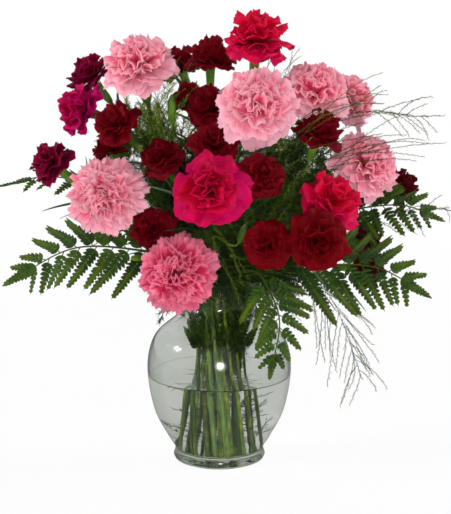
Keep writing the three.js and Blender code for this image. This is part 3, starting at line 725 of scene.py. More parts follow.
def petalPaint(name, throatWithPaintedShade, heart, face, edge, skirt, vein, gloss, soft):
    paint = Paint(name)
    chanceValue, part, own = paint.tint()
    place = paint.mapPlace("petalMap")
    across, along, _ = paint.parts(place)
    aside = across + chanceValue * 7.0  # so that no two petals have the same veins
    shifted = paint.add("ShaderNodeCombineXYZ", {}, {0: aside, 1: along, 2: chanceValue * 31.0})
    veins = paint.noise(paint.stretched(shifted, (34, 1.4, 1)), 1.0, 3.0)
    cloud = paint.noise(paint.stretched(shifted, (3.2, 2.4, 1)), 1.0, 2.0)
    height = along + (cloud - 0.5) * 0.28 + (veins - 0.5) * 0.1
    colour = paint.blend(paint.ranged(part, 0.1, 0.75, 0.0, 1.0), heart, face)
    colour = paint.blend(paint.ranged(part, 0.7, 1.0, 0.0, 0.85), colour, skirt)
    # painted shade: low on each petal the colour turns to the dark throat, partly the petal's own deeper base
    # and partly shade painted into the depths of the bloom
    colour = paint.blend(paint.ranged(height, 0.28, 0.76, 1.0, 0.0), colour, throatWithPaintedShade)
    colour = paint.blend(paint.ranged(height, 0.84, 1.0, 0.0, 0.85), colour, edge)
    colour = paint.blend(paint.ranged(veins, 0.46, 0.72, 0.0, 0.5), colour, vein, "MULTIPLY")
    colour = paint.toned(colour, paint.ranged(chanceValue * 0.6 + own * 0.4, 0, 1, 0.84, 1.12))
    return paint.finish({
        "Base Color": colour,
        "Roughness": paint.ranged(veins, 0.3, 0.7, soft - 0.08, soft + 0.1),
        "Specular IOR Level": gloss,
        "Normal": paint.bump(veins + cloud, 0.0008, 0.5),
    })


petalFinishes = {  # colours of throat (partly painted shade), heart, face, edge, outer petals and veins, then gloss and roughness
    "pink": petalPaint(
        "salmon pink petals", (0.66, 0.008, 0.06), (0.84, 0.08, 0.18), (0.9, 0.2, 0.3), (0.98, 0.54, 0.62),
        (0.88, 0.42, 0.52), (0.96, 0.62, 0.72), 0.08, 0.6),
    "coral": petalPaint(
        "coral pink petals", (0.32, 0.0, 0.025), (0.6, 0.008, 0.07), (0.68, 0.035, 0.12), (0.88, 0.26, 0.38),
        (0.8, 0.22, 0.34), (0.94, 0.56, 0.67), 0.08, 0.6),
    "magenta": petalPaint(
        "magenta petals", (0.14, 0.0, 0.004), (0.38, 0.0, 0.01), (0.44, 0.0, 0.022), (0.62, 0.001, 0.07),
        (0.5, 0.0, 0.1), (0.8, 0.36, 0.56), 0.06, 0.5),
    "purple": petalPaint(
        "purple magenta petals", (0.12, 0.0, 0.01), (0.34, 0.0, 0.02), (0.44, 0.0, 0.06), (0.6, 0.001, 0.14),
        (0.46, 0.0, 0.12), (0.8, 0.4, 0.6), 0.06, 0.5),
    "crimson": petalPaint(
        "crimson petals", (0.2, 0.0, 0.005), (0.55, 0.0, 0.013), (0.62, 0.0, 0.028), (0.74, 0.006, 0.07),
        (0.6, 0.0, 0.08), (0.8, 0.4, 0.55), 0.08, 0.5),
    "red": petalPaint(
        "deep red petals", (0.035, 0.0, 0.001), (0.12, 0.0, 0.002), (0.15, 0.0, 0.003), (0.21, 0.0, 0.004),
        (0.15, 0.0, 0.003), (0.66, 0.4, 0.4), 0.05, 0.56),
    # its purple edge colour is partly painted sheen, the purple shine on the burgundy petals
    "plum": petalPaint(
        "plum petals", (0.02, 0.0, 0.002), (0.11, 0.0, 0.006), (0.14, 0.0, 0.013), (0.25, 0.001, 0.05),
        (0.15, 0.0, 0.025), (0.66, 0.4, 0.5), 0.05, 0.54),
    # a darker copy of the burgundy finish: painted shade
    "shaded": petalPaint(
        "burgundy petals darkened as painted shade", (0.012, 0.0, 0.001), (0.05, 0.0, 0.002), (0.065, 0.0, 0.003),
        (0.1, 0.001, 0.008), (0.07, 0.0, 0.005), (0.66, 0.4, 0.45), 0.05, 0.56),
    "dark": petalPaint(
        "burgundy petals", (0.025, 0.0, 0.001), (0.11, 0.0, 0.002), (0.14, 0.0, 0.003), (0.2, 0.0, 0.008),
        (0.14, 0.0, 0.006), (0.66, 0.4, 0.45), 0.06, 0.56),
}
for seed, name in enumerate(blooms, 300):
    finish = blooms[name]["finish"]
    finishPiece(makeBloom(name, seed), petalFinishes[finish], name)


print("stems, calyxes and buds")

stemLook = {
    "stations": 4.5,  # mm between the points of a stem
    "jointEvery": 46,  # mm between the swollen joints
    "jointSwell": 0.38,
    "jointLength": 2.6,
    "leafEvery": 27,  # mm between the pairs of leaves
    "leafHeights": (188, 440),  # none starts lower or reaches higher
    "leafLength": (38, 66),
    "leafWidth": 3.9,
    "leafThickness": 0.0005,
    "budStalk": 1.1,
    "cutHeight": 9.7,
    "neckHeight": 161,
}


def route(cut, *runs, buds=(), budSize=0.68, budToneWithPaintedLight=0.08):
    return {"cut": cut, "runs": runs, "buds": buds, "budSize": budSize, "budToneWithPaintedLight": budToneWithPaintedLight}


stemRoutes = {  # the cut end, then the guides to each bloom's calyx, and to each bud its base and tip
    "pink_stem_1": route(
        (-7.8, 1.1), ("pink_1", (-4.1, 3.8, 161), (-4.1, 3.8, 252.7), (-60.2, 33.5, 303.4))),
    "pink_stem_2": route(
        (-9.8, -20.6), ("pink_2", (-13.9, -8.1, 161), (-13.9, -8.1, 219.4), (-85.7, 7, 250.6))),
    "pink_stem_3": route(
        (-2.8, -29.1), ("pink_3", (-13.2, -15.8, 161), (-13.2, -15.8, 190.7), (-33.5, -36.4, 209.5))),
    "pink_stem_4": route(
        (8.7, -33.4), ("pink_4", (-8.2, -22.9, 161), (-8.2, -22.9, 238.7), (34.8, 19.1, 297.3))),
    "pink_stem_5": route(
        (3.8, 2.6), ("pink_5", (3.2, 0, 161), (3.2, 0, 246.5), (84.6, 57.2, 283.8))),
    "pink_stem_6": route(
        (-6.4, 21), ("pink_6", (4.6, 14.7, 161), (4.6, 14.7, 250.2), (47.5, 24.7, 308))),
    "pink_stem_7": route(
        (0.7, 12.1), ("pink_7", (5.2, 6.8, 161), (5.2, 6.8, 231.9), (79.4, 37.7, 256.3))),
    "magenta_stem_top": route(
        (-17.2, 22.8), ("magenta_1", (-0.9, 20.1, 161), (-0.9, 20.1, 260.7), (25.8, 13.3, 315.6))),
    "magenta_stem_front": route(
        (11.5, -22.7),
        ("magenta_2", (-2.3, -17.8, 161), (6.6, -30.4, 212.5), (-14.2, -41.4, 263)),
        buds=[
            ((-4.3, -39.4, 233.9), (-7.6, -51.8, 254.9), (14.5, -85.2, 226.5),
             (20, -94.9, 244.9), (25, -104, 262)),
        ],
    ),
    "magenta_stem_left": route(
        (-9.8, -9.6), ("magenta_3", (-9.5, -1.7, 161), (-23.5, 11.6, 236.8), (-53.3, 20.3, 314.6))),
    "spray_left": route(
        (-19.5, -4.1),
        ("dark_1", (-13, 5.4, 161), (-13, 5.4, 237.6), (-102.3, 16.5, 245.3)),
        ("dark_4", (-27.6, 6.8, 207.1), (-62.7, 8.7, 236.9), (-85.1, 1.1, 258.4)),
        ("dark_12", (-62.9, 8.8, 237.1), (-71.3, 6, 237.1), (-57.3, -13.8, 223.1)),
        buds=[
            ((-62.9, 8.8, 237.1), (-83.4, 8.1, 248.3), (-58.9, -30.6, 217.8),
             (-71.6, -46.5, 219.9), (-84, -62, 222)),
        ],
        budSize=0.76, budToneWithPaintedLight=0.45,
    ),
    "spray_upper_left": route(
        (2.1, -17.6),
        ("dark_3", (-5.7, -11.1, 161), (-5.7, -11.1, 238.2), (-46.1, 8.1, 285.3)),
        ("dark_2", (-12.6, -8.5, 213.6), (-38, -6.1, 293.9), (-70.7, 50.5, 321.9)),
    ),
    "spray_top": route(
        (-23, 8.6),
        ("dark_6", (-10, 14.2, 161), (-10, 14.2, 252.1), (-9, 40.5, 303.1)),
        ("dark_5", (-9.8, 18.2, 222.8), (-9.4, 28.9, 287.8), (-9.7, 42.6, 326)),
        ("dark_7", (-9.5, 26.8, 275.4), (-9.3, 31.4, 303.9), (-16.6, 6.4, 320.5)),
        buds=[
            ((-9.5, 26.8, 275.4), (-9.2, 32.6, 311.3), (-47, -0.8, 320.5),
             (-47, -4, 352.1), (-47, -6, 372)),
            ((-9.2, 34.8, 324.8), (-9.9, 31.8, 348.7), (-67, 6.3, 305.3),
             (-67, 4, 328.1), (-67, 2, 348)),
        ],
        # the upper buds are made lighter: painted light from above
        budSize=0.92, budToneWithPaintedLight=0.75,
    ),
    "spray_middle": route(
        (-30.6, 0.2),
        ("dark_8", (-17.7, 12.3, 161), (-31.7, 23.9, 240), (-13.5, 61.1, 306)),
        ("dark_9", (-22.9, 24, 217.5), (-20.6, 32.6, 259.3), (-4, -2.6, 278)),
        ("dark_10", (-20.1, 34.2, 267.3), (-16.2, 32.9, 292), (-37.6, -6.7, 272.4)),
    ),
    "spray_front": route(
        (22.9, -21.3),
        ("dark_11", (4.8, -21.5, 161), (4.8, -21.5, 217.9), (-0.2, -15.9, 274.5)),
        ("red_1", (4.4, -21.2, 203), (5.2, -22.5, 231), (52.6, -33.5, 234.4)),
    ),
    "spray_front_right": route(
        (27.3, -5.1),
        ("magenta_4", (13.9, -13.8, 161), (13.9, -13.8, 212.3), (79.8, -22.6, 215.2)),
        ("red_2", (24.4, -15.5, 191.6), (55.6, -22.3, 217.2), (86.2, -32.2, 243.6)),
    ),
    "spray_right": route(
        (6.5, -7.9),
        ("dark_13", (0.6, -7.2, 161), (0.6, -7.2, 234.4), (72.6, -6.7, 255.7)),
        ("dark_14", (12.1, -7.3, 207.6), (52.1, -10.5, 263.7), (100.4, 24.3, 253.5)),
    ),
    "spray_low_right": route(
        (11, 15.3),
        ("dark_15", (12.5, 4.6, 161), (12.5, 4.6, 211.8), (86.7, 4.7, 192.2)),
        ("dark_16", (24.6, 4.7, 187.6), (62.1, 5.9, 203.6), (93.2, 1.4, 204.1)),
    ),
}


def tubes(name, runs, roundness=1):  # each run is its points and radii in mm
    curve = bpy.data.curves.new(name, "CURVE")
    curve.dimensions = "3D"
    curve.bevel_depth = mm
    curve.bevel_resolution = roundness
    curve.use_fill_caps = True
    for points, radii in runs:
        spline = curve.splines.new("POLY")
        spline.points.add(len(points) - 1)
        places = np.concatenate([np.asarray(points) * mm, np.ones((len(points), 1))], axis=1)
        spline.points.foreach_set("co", places.ravel())
        spline.points.foreach_set("radius", np.asarray(radii, float))
    piece = bpy.data.objects.new(name, curve)
    bpy.context.collection.objects.link(piece)
    activate(piece)
    bpy.ops.object.convert(target="MESH")
    return bpy.context.object


def tinted(piece, colour):  # one tint for the whole of a piece
    mesh = piece.data
    layer = mesh.attributes.new("tint", "FLOAT_COLOR", "POINT")
    layer.data.foreach_set("color", np.tile((*colour, 1.0), len(mesh.vertices)).astype(np.float32))
    if not mesh.uv_layers:
        mesh.uv_layers.new(name="leafMap")
    mesh.uv_layers[0].name = "leafMap"
    mesh.polygons.foreach_set("use_smooth", [True] * len(mesh.polygons))
    return piece


def swollen(points, radius, length):
    steps = np.linspace(0, length, len(points))
    away = np.abs((steps + 12) % stemLook["jointEvery"] - stemLook["jointEvery"] / 2)
    return radius * (1 + stemLook["jointSwell"] * np.exp(-((away / stemLook["jointLength"]) ** 2)))


def latheBlank(name, profile, sides):  # its points in mm, their angles round the axis and its faces
    piece = lathed(name, profile, sides)
    applyModifier(piece, "TRIANGULATE")
    points, faces = blankOf(piece)
    points = points / mm
    return points, np.arctan2(points[:, 1], points[:, 0]), faces


def calyxBlank():  # for the pink blooms, in mm from the seat of the petals; the others are scaled from it
    profile = [
        (0, -28), (2.7, -27.6), (4.2, -26), (5.4, -22), (6.2, -16), (6.5, -9),
        (6.9, -4), (7.3, 0), (7.9, 2.6), (7.3, 2.7), (6.4, -1), (0, -3),
    ]
    points, turn, faces = latheBlank("calyx", profile, 30)
    high = smoothStep(-1.5, 2.6, points[:, 2])
    notch = 0.5 + 0.5 * np.cos(5 * turn)
    points[:, 2] += high * 5.2 * (notch - 0.62)
    points[:, :2] *= (1 + high * 0.10 * (notch - 0.3))[:, None]
    points[:, :2] *= (1 + 0.018 * np.cos(15 * turn))[:, None]
    return points, faces


def budBlank():
    profile = [
        (0, -15), (2.2, -14.6), (3.5, -12), (4.3, -7), (4.6, -1),
        (4.3, 5), (3.3, 10), (1.9, 13.5), (0.8, 15.2), (0, 15.8),
    ]
    points, turn, faces = latheBlank("bud", profile, 20)
    points[:, :2] *= (1 + 0.07 * smoothStep(2, 13, points[:, 2]) * np.cos(5 * turn))[:, None]
    return points, faces


def placed(blank, seat, axis, scale):
    return seat + (blank * np.array(scale)) @ facingMatrix(axis)


strapAcross, strapAlong, strapFaces = sheetBlank(2, 9)


def strapLeaf(root, along, turn, length, chance):  # a narrow folded leaf that leaves the stem and arches out
    side, cross = facingMatrix(along, turn)[:2]
    out = unit(along * 1.3 + side)
    bend = chance.uniform(0.25, 0.8)
    s = strapAlong
    arch = side * 0.55 - np.array((0, 0, 0.35))
    middle = root + length * (s[:, None] * out + (bend * s**2)[:, None] * arch)
    breadth = np.sin(np.pi * np.clip(0.16 + 0.84 * s, 0, 1)) ** 0.55
    half = 0.5 * stemLook["leafWidth"] * breadth * chance.uniform(0.85, 1.15)
    fold = 0.55 * np.abs(strapAcross) * half
    lift = unit(np.cross(cross, out))
    return middle + (strapAcross * half)[:, None] * cross - fold[:, None] * lift


def clearOfBlooms(points, share=0.46):  # whether a line or leaf keeps out of every head
    for plan in blooms.values():
        if (np.linalg.norm(points - np.array(plan["at"]), axis=-1) < share * plan["width"]).any():
            return False
    return True


def cutEnd(plan):
    return np.array([(*plan["cut"], stemLook["cutHeight"])])


def strapsAlong(line, length, first, chance):  # pairs of leaves, where no bloom is in their way
    straps = []
    lowest, highest = stemLook["leafHeights"]
    for root, way in zip(*alongLine(line, np.arange(first, 0.9, stemLook["leafEvery"] / length))):
        turn = chance.uniform(0, 2 * math.pi)
        for opposite in (0, math.pi):
            leaf = strapLeaf(root, way, turn + opposite, chance.uniform(*stemLook["leafLength"]), chance)
            if root[2] > lowest and clearOfBlooms(leaf) and leaf[:, 2].max() < highest:
                straps.append(leaf)
    return straps


def strapMesh(name, straps, chance):
    count = len(straps)
    maps = sheetMap(strapAcross, strapAlong)
    tints = np.stack([chance.uniform(size=count), np.zeros(count), np.ones(count)], axis=1)
    leaves = sheetMesh(name, np.array(straps) * mm, strapFaces, maps, tints, "leafMap")
    applyModifier(leaves, "SOLIDIFY", thickness=stemLook["leafThickness"], offset=0)
    return leaves


def oneTint(name, shapes, faces, tint):  # calyxes or buds
    maps = np.zeros((len(shapes[0]), 2))
    return sheetMesh(name, np.array(shapes) * mm, faces, maps, np.tile(tint, (len(shapes), 1)), "leafMap")


def makeStem(name, seed):
    plan = stemRoutes[name]
    chance = np.random.default_rng(seed)
    largest = pinkKind["calyx"]
    runs, cups, straps, buds = [], [], [], []
    for k, (head, start, leave, arrive) in enumerate(plan["runs"]):
        cup = blooms[head]["kind"]["calyx"]
        seat, axis = bloomSeat(head)
        rise = guidedCurve((start, leave, arrive, seat - axis * cup["length"]), 24)
        if k == 0:
            rise = np.concatenate([cutEnd(plan), rise])
        line, length = evenly(rise, stemLook["stations"])
        line = np.concatenate([line, [seat - axis * 0.8 * cup["length"]]])
        runs.append((line, swollen(line, cup["stem"], length) * (0.9 if k else 1)))
        wide, tall = (cup[key] / largest[key] for key in ("radius", "length"))
        cups.append(placed(calyxShape, seat + axis * 0.4, axis, (wide, wide, tall)))
        straps += strapsAlong(line, length, 0.2 if k else 0.42, chance)
    size = plan["budSize"]
    for start, leave, arrive, base, tip in plan["buds"]:
        line, _ = evenly(guidedCurve((start, leave, arrive, base), 16), stemLook["stations"])
        runs.append((line, np.full(len(line), stemLook["budStalk"])))
        axis = unit(np.array(tip) - np.array(base))
        middle = (np.array(tip) + np.array(base)) / 2 - axis
        buds.append(placed(budShape, middle, axis, (size, size, 0.1 + size)))
    pieces = [tinted(tubes(name, runs), (chance.uniform(), 0.0, 0.0))]
    pieces.append(oneTint(name, cups, calyxFaces, (chance.uniform(0.15, 0.55), 1.0, 0.0)))
    if buds:
        pieces.append(oneTint(name, buds, budFaces, (plan["budToneWithPaintedLight"], 0.85, 0.0)))
    if straps:
        pieces.append(strapMesh(name, straps, chance))
    return joined(name + "_green", pieces)


def stemPaint():
    paint = Paint("carnation stems and cups")
    chanceValue, cup, strap = paint.tint()
    place = paint.objectPlace()
    fibre = paint.noise(paint.stretched(place, (420, 420, 22)), 1.0, 3.0)
    mottle = paint.noise(place, 90.0, 3.0)
    stalk = paint.ramp(mottle * 0.6 + fibre * 0.4, [
        (0.34, (0.03, 0.07, 0.001)), (0.52, (0.13, 0.21, 0.004)), (0.7, (0.4, 0.47, 0.015)),
    ])
    waxy = paint.ramp(fibre, [(0.3, (0.02, 0.055, 0.012)), (0.7, (0.09, 0.16, 0.04))])
    green = paint.ramp(fibre * 0.5 + mottle * 0.5, [
        (0.3, (0.04, 0.11, 0.006)), (0.55, (0.11, 0.24, 0.012)), (0.75, (0.25, 0.36, 0.05)),
    ])
    blue = paint.ramp(mottle, [(0.25, (0.02, 0.06, 0.03)), (0.75, (0.07, 0.135, 0.075))])
    colour = paint.blend(paint.ranged(chanceValue, 0.55, 0.7, 0.0, 0.8), stalk, waxy)
    colour = paint.blend(cup, colour, green)
    colour = paint.blend(strap, colour, blue)
    colour = paint.toned(colour, paint.ranged(chanceValue, 0, 1, 0.28, 1.85))
    return paint.finish({
        "Base Color": colour,
        "Roughness": paint.ranged(mottle, 0.3, 0.7, 0.42, 0.6),
        "Specular IOR Level": 0.35,
        "Normal": paint.bump(fibre, 0.0005, 0.5),
    })


calyxShape, calyxFaces = calyxBlank()
budShape, budFaces = budBlank()
stemGreen = stemPaint()
for seed, name in enumerate(stemRoutes, 700):
    finishPiece(makeStem(name, seed), stemGreen, name)


print("leatherleaf ferns")

fernLook = {
    "stalk": 1.5,
    "leafletGap": 3.7,
    "leafletWidth": 4.2,
    "thickness": 0.00035,
    "sunk": (116, 128, 140, 152),  # heights of the small pinnae inside the vase
}
fronds = {  # the cut end, the place in the neck, the face, the longest pinna, the pairs and the leafy stretch
    "fern_left": {
        "cut": (-20.1, -25.7), "neck": (-21.9, -7), "faces": (0.1, -0.9, 0.5), "longest": 50, "pairs": 8,
        "line": [(-72, -44, 226), (-140, -62, 232), (-205, -60, 198)],
    },
    "fern_upper_left": {
        "cut": (-22.9, -14.3), "neck": (-19, 0.8), "faces": (0.1, -0.3, 0.95), "longest": 34, "pairs": 6,
        "line": [(-95, 28, 268), (-165, 14, 292), (-217, 6, 285)],
    },
    "fern_right": {
        "cut": (32.8, 5.5), "neck": (21.3, -9.8), "faces": (-0.1, -0.9, 0.45), "longest": 58, "pairs": 8,
        "line": [(75.8, -51, 212.2), (151.8, -51, 211.3), (203.9, -48.6, 183.6)],
    },
    "fern_front": {
        "cut": (18, -10.6), "neck": (6.2, -13.4), "faces": (0.3, -0.9, -0.1), "longest": 36, "pairs": 7,
        "line": [(44, -78, 202), (58, -97, 168), (50, -96, 116)],
    },
    "fern_upper_right": {
        "cut": (22.2, 20.1), "neck": (20.9, 2.8), "faces": (0, -0.75, 0.6), "longest": 40, "pairs": 7,
        "line": [(128.8, 24.5, 254.8), (182.8, -2.5, 265.4), (222.1, -3.4, 251.8)],
    },
    "fern_back": {
        "cut": (-28.4, 18.4), "neck": (-9.2, 22), "faces": (0, 0.3, 0.95), "longest": 58, "pairs": 8,
        "line": [(-18, 62, 222), (-40, 120, 262), (-48, 165, 250)],
    },
}


def leafletBlank():  # an oblong leaflet, 1 long, with a blunt tip and a slight fold along its middle
    across, along, faces = sheetBlank(2, 5)
    half = np.interp(along, [0, 0.2, 0.4, 0.6, 0.8, 1], [0.6, 0.9, 1.0, 0.94, 0.68, 0.12])
    shape = np.stack([0.5 * across * half, along, -0.16 * np.abs(across) * half], axis=1)
    return shape, faces, sheetMap(across, along)


leafletShape, leafletFaces, leafletMap = leafletBlank()


def stalkRoute(plan):  # the whole stalk from its cut end, and its leafy stretch
    neck = np.array((*plan["neck"], stemLook["neckHeight"]))
    first, second = (np.array(p, float) for p in plan["line"][:2])
    rise = guidedCurve((neck, neck + (0, 0, 34), first - unit(second - first) * 26, first), 12)
    leafy = curveThrough([rise[-4], *plan["line"]], 40)
    leafy = leafy[np.argmin(np.linalg.norm(leafy - first, axis=1)):]
    return np.concatenate([cutEnd(plan), rise[:-1], leafy]), leafy


class Frond:  # the pinnae of one frond, each a thin stalk with leaflets that run together towards the tip
    def __init__(self, chance):
        self.chance = chance
        self.leaflets, self.tints, self.lines = [], [], []

    def leaflet(self, root, out, normal, length, width, tone, mark):
        side = unit(np.cross(out, normal))
        lift = np.cross(side, out)
        self.leaflets.append(root + leafletShape @ np.array([side * width, out * length, lift * width]))
        self.tints.append((tone, mark, self.chance.uniform()))

    def dress(self, line, length, normal, tone):
        chance = self.chance
        marks = np.arange(4.5 / length, 0.93, fernLook["leafletGap"] / length)
        flat = unit(normal + 0.12 * chance.normal(size=3))
        for place, way, mark in zip(*alongLine(line, marks), marks):
            across = unit(np.cross(way, flat))
            size = (0.15 * length + 1.4) * (1 - mark) ** 0.8 * (0.65 + 0.35 * smoothStep(0, 0.15, mark)) + 1.7
            width = fernLook["leafletWidth"] * (0.78 + 0.3 * (1 - mark))
            for edge in (1, -1):
                out = unit(way * 0.6 + edge * across + 0.06 * chance.normal(size=3))
                self.leaflet(place, out, flat, size * chance.uniform(0.92, 1.06), width, tone, mark)
        for mark, width in ((0.34, 0.06), (0.6, 0.085)):  # the blade down the middle
            (place,), (way,) = alongLine(line, [mark])
            self.leaflet(place, way, flat, (1.04 - mark) * length, width * length + 1.4, tone, 1.0)

    def pinna(self, line, length, radius, normal, tone):
        self.lines.append((line, np.linspace(radius, 0.2, len(line))))
        self.dress(line, length, normal, tone)


def sidePinnae(frond, plan, rib):  # in pairs along the rib, shorter towards its end
    chance = frond.chance
    face = unit(plan["faces"])
    s = np.linspace(0, 1, 12)[:, None]
    for k in range(2 * plan["pairs"]):
        hand = 1 if k % 2 else -1
        share = 0.9 * (k // 2 + (0.22 if k % 2 else 0.0)) / plan["pairs"]
        (root,), (along,) = alongLine(rib, [share])
        side = unit(np.cross(along, face))
        normal = np.cross(side, along)
        length = (plan["longest"] * (1 - share) ** 0.75 + 7) * chance.uniform(0.9, 1.08)
        lean = math.radians(28 + 16 * share + chance.normal(0, 4))
        out = unit(side * hand * math.cos(lean) + along * math.sin(lean) + normal * chance.normal(0, 0.1))
        course = s * out + 0.12 * s**2 * along - 0.13 * s**2 * normal - np.array((0, 0, 0.14)) * s**2
        frond.pinna(root + length * course, length, 0.55, normal, chance.uniform())


def sunkPinnae(frond, route):  # small upright ones under the neck of the vase
    chance = frond.chance
    for height in fernLook["sunk"] + chance.normal(0, 5, 4):
        root = atHeight(route[:12], height)
        out = np.array((*(unit(root[:2] + chance.normal(0, 12, 2))), chance.uniform(1.2, 2.6)))
        line = root + chance.uniform(20, 32) * np.linspace(0, 1, 12)[:, None] * unit(out)
        if vaseGap(line, False) > 3:
            flat = unit(np.cross(np.cross(out, (0.2, -1, 0.3)), out))
            frond.pinna(line, np.linalg.norm(line[-1] - root), 0.5, flat, 0.3 * chance.uniform())


def makeFrond(name, seed):
    plan = fronds[name]
    frond = Frond(np.random.default_rng(seed))
    route, rib = stalkRoute(plan)
    sidePinnae(frond, plan, rib)
    tail, ways = alongLine(rib, np.linspace(0.76, 1, 8))
    tail = np.concatenate([tail, tail[-1:] + ways[-1:] * 6])
    flat = unit(np.cross(np.cross(ways[0], unit(plan["faces"])), ways[0]))
    frond.dress(tail, np.linalg.norm(tail[-1] - tail[0]), flat, 0.6)
    sunkPinnae(frond, route)
    line, _ = evenly(route, 5)
    taper = fernLook["stalk"] * (1 - 0.62 * smoothStep(0.45, 1.0, np.linspace(0, 1, len(line))))
    stalk = tinted(tubes(name, [(line, taper), *frond.lines]), (0.5, 0.0, 1.0))
    shapes = np.array(frond.leaflets) * mm
    leaves = sheetMesh(name, shapes, leafletFaces, leafletMap, np.array(frond.tints), "leafMap")
    applyModifier(leaves, "SOLIDIFY", thickness=fernLook["thickness"], offset=0)
    return joined(name + "_frond", [leaves, stalk])


def fernPaint():
    paint = Paint("leatherleaf fern")
    tone, mark, own = paint.tint()
    across, _, _ = paint.parts(paint.mapPlace("leafMap"))
    place = paint.objectPlace()
    mottle = paint.noise(place, 75.0, 3.0)
    veins = paint.noise(paint.stretched(paint.mapPlace("leafMap"), (3, 26, 1)), 1.0, 2.0)
    aside = paint.add("ShaderNodeMath", {"operation": "ABSOLUTE"}, {0: across - 0.5})
    rib = paint.ranged(aside, 0.02, 0.12, 1.0, 0.0)
    colour = paint.ramp(mottle * 0.4 + tone * 0.38 + own * 0.22, [
        (0.25, (0.008, 0.03, 0.001)), (0.5, (0.023, 0.063, 0.002)), (0.8, (0.066, 0.128, 0.004)),
    ])
    # lighter, yellower towards the ends of the pinnae: partly their own colour, partly painted light on the
    # outer ends
    colour = paint.blend(paint.ranged(mark, 0.45, 1.0, 0.0, 0.32), colour, (0.15, 0.22, 0.008))
    colour = paint.blend(rib * 0.3, colour, (0.11, 0.2, 0.02))
    colour = paint.blend(paint.ranged(veins, 0.5, 0.75, 0.0, 0.3), colour, (0.02, 0.06, 0.004))
    return paint.finish({
        "Base Color": colour,
        "Roughness": paint.ranged(mottle, 0.3, 0.7, 0.42, 0.56),
        "Specular IOR Level": 0.25,
        "Normal": paint.bump(veins - rib * 0.6, 0.0006, 0.6),
    })


fernGreen = fernPaint()
for seed, name in enumerate(fronds, 1100):
    finishPiece(makeFrond(name, seed), fernGreen, name)


print("asparagus fern")

plumeLook = {
    "stalk": 1.2,
    "needle": (3.6, 6.4),  # lengths in mm
    "needleWidth": 0.62,
    "twigRadius": 0.42,
    "stations": 2.5,  # mm between side twigs
    "apron": 22,  # those that hang over the vase's rim
    "sunk": 58,  # and those inside the vase, most of them in front of the stems
}
twigKinds = {  # how far the side twigs spread in degrees, their reach in mm, and the breadth of the needles
    "rib": (26, 5, 0.7), "loose": (22, 3.4, 0.62), "stray": (20, 3, 0.52), "bright": (26, 6.5, 0.95),
    "soft": (48, 13, 1.3), "apron": (46, 12, 1.3), "sunk": (36, 7.7, 1.3), "wisp": (30, 4.5, 0.7),
}
plumes = {  # as the fronds; wisps are the loose outer twigs, fill is where the soft ones lie and their number
    "asparagus_right": {
        "cut": (15.1, 0.5), "neck": (9, -5.7), "faces": (0.2, -1, 0.3), "longest": 92,
        "line": [(58, 10, 262), (120, 2, 352), (206, -20, 356)],
        "wisps": 40, "hang": 0.05, "fill": ((72, 4, 292), (72, 66, 62), 94),
        "strays": [((70, -36, 334), (150, -44, 361), 7), ((106, -48, 312), (200, -52, 336), 7)],
    },
    "asparagus_left": {
        "cut": (-12.5, 10.7), "neck": (-3, 11.2), "faces": (-0.2, -1, 0.2), "longest": 66,
        "line": [(-45.6, 10.9, 257.3), (-57.4, 4.6, 356.6), (-88.3, 42.5, 427.6)],
        "wisps": 22, "hang": 0.1, "fill": ((-52, 4, 322), (66, 54, 92), 104),
        "strays": [((-34, -58, 268), (24, -92, 222), 8)],
    },
    "asparagus_low_right": {
        "cut": (22, 8.9), "neck": (16.3, -3.6), "faces": (0.3, -1, 0.1), "longest": 72,
        "line": [(78.1, -35.4, 207.2), (111.1, -65.8, 180.1), (140.5, -71, 103.8)],
        "wisps": 28, "hang": 0.6, "fill": ((22, -20, 238), (112, 62, 66), 94),
        "strays": [((-6, -56, 206), (62, -84, 206), 8)],
    },
    "asparagus_far_right": {
        "cut": (7, 25.3), "neck": (14.1, 11.9), "faces": (0, -0.8, 0.6), "longest": 62,
        "line": [(96, 42, 226), (170, 40, 250), (232, 4, 262)],
        "wisps": 18, "hang": 0.1, "fill": ((-2, 10, 280), (122, 78, 120), 85),
        "strays": [((28, -44, 262), (82, -66, 312), 9)],
    },
    "asparagus_back": {
        "cut": (-2.5, 31.9), "neck": (11.2, 19.5), "faces": (0.2, 0.8, 0.5), "longest": 110,
        "line": [(14, 66, 246), (52, 118, 302), (62, 150, 334)],
        "wisps": 28, "hang": 0.1, "fill": ((16, 34, 236), (112, 62, 74), 99),
        "strays": [((-76, -10, 330), (-30, -22, 384), 7), ((48, 30, 338), (78, 22, 420), 6)],
    },
}


def needleBlank():  # one needle, 1 long and 1 wide at its root
    deselectAll()
    bpy.ops.mesh.primitive_cone_add(vertices=3, radius1=0.5, radius2=0, depth=1, location=(0, 0, 0.5))
    piece = bpy.context.object
    settle(piece)
    applyModifier(piece, "TRIANGULATE")
    return blankOf(piece)


needleShape, needleFaces = needleBlank()


def squareTo(ways, chance):  # for each way some direction at right angles to it
    return units(np.cross(ways, chance.normal(size=ways.shape)))


def needles(roots, ways, lengths, width, chance):  # many needles at once
    side = squareTo(ways, chance)
    places = roots[:, None]
    for k, axis in enumerate((side * width, np.cross(ways, side) * width, ways * lengths[:, None])):
        places = places + needleShape[None, :, k, None] * axis[:, None]
    return places


def twigCurve(start, end, lift, chance, wander=0.05):  # a bow whose middle is lifted
    gap = np.linalg.norm(end - start)
    middle = (start + end) / 2 + np.array((0, 0, lift * gap)) + chance.normal(0, wander * gap, 3)
    t = np.linspace(0, 1, 9)[:, None]
    return (1 - t) ** 2 * start + 2 * (1 - t) * t * middle + t**2 * end


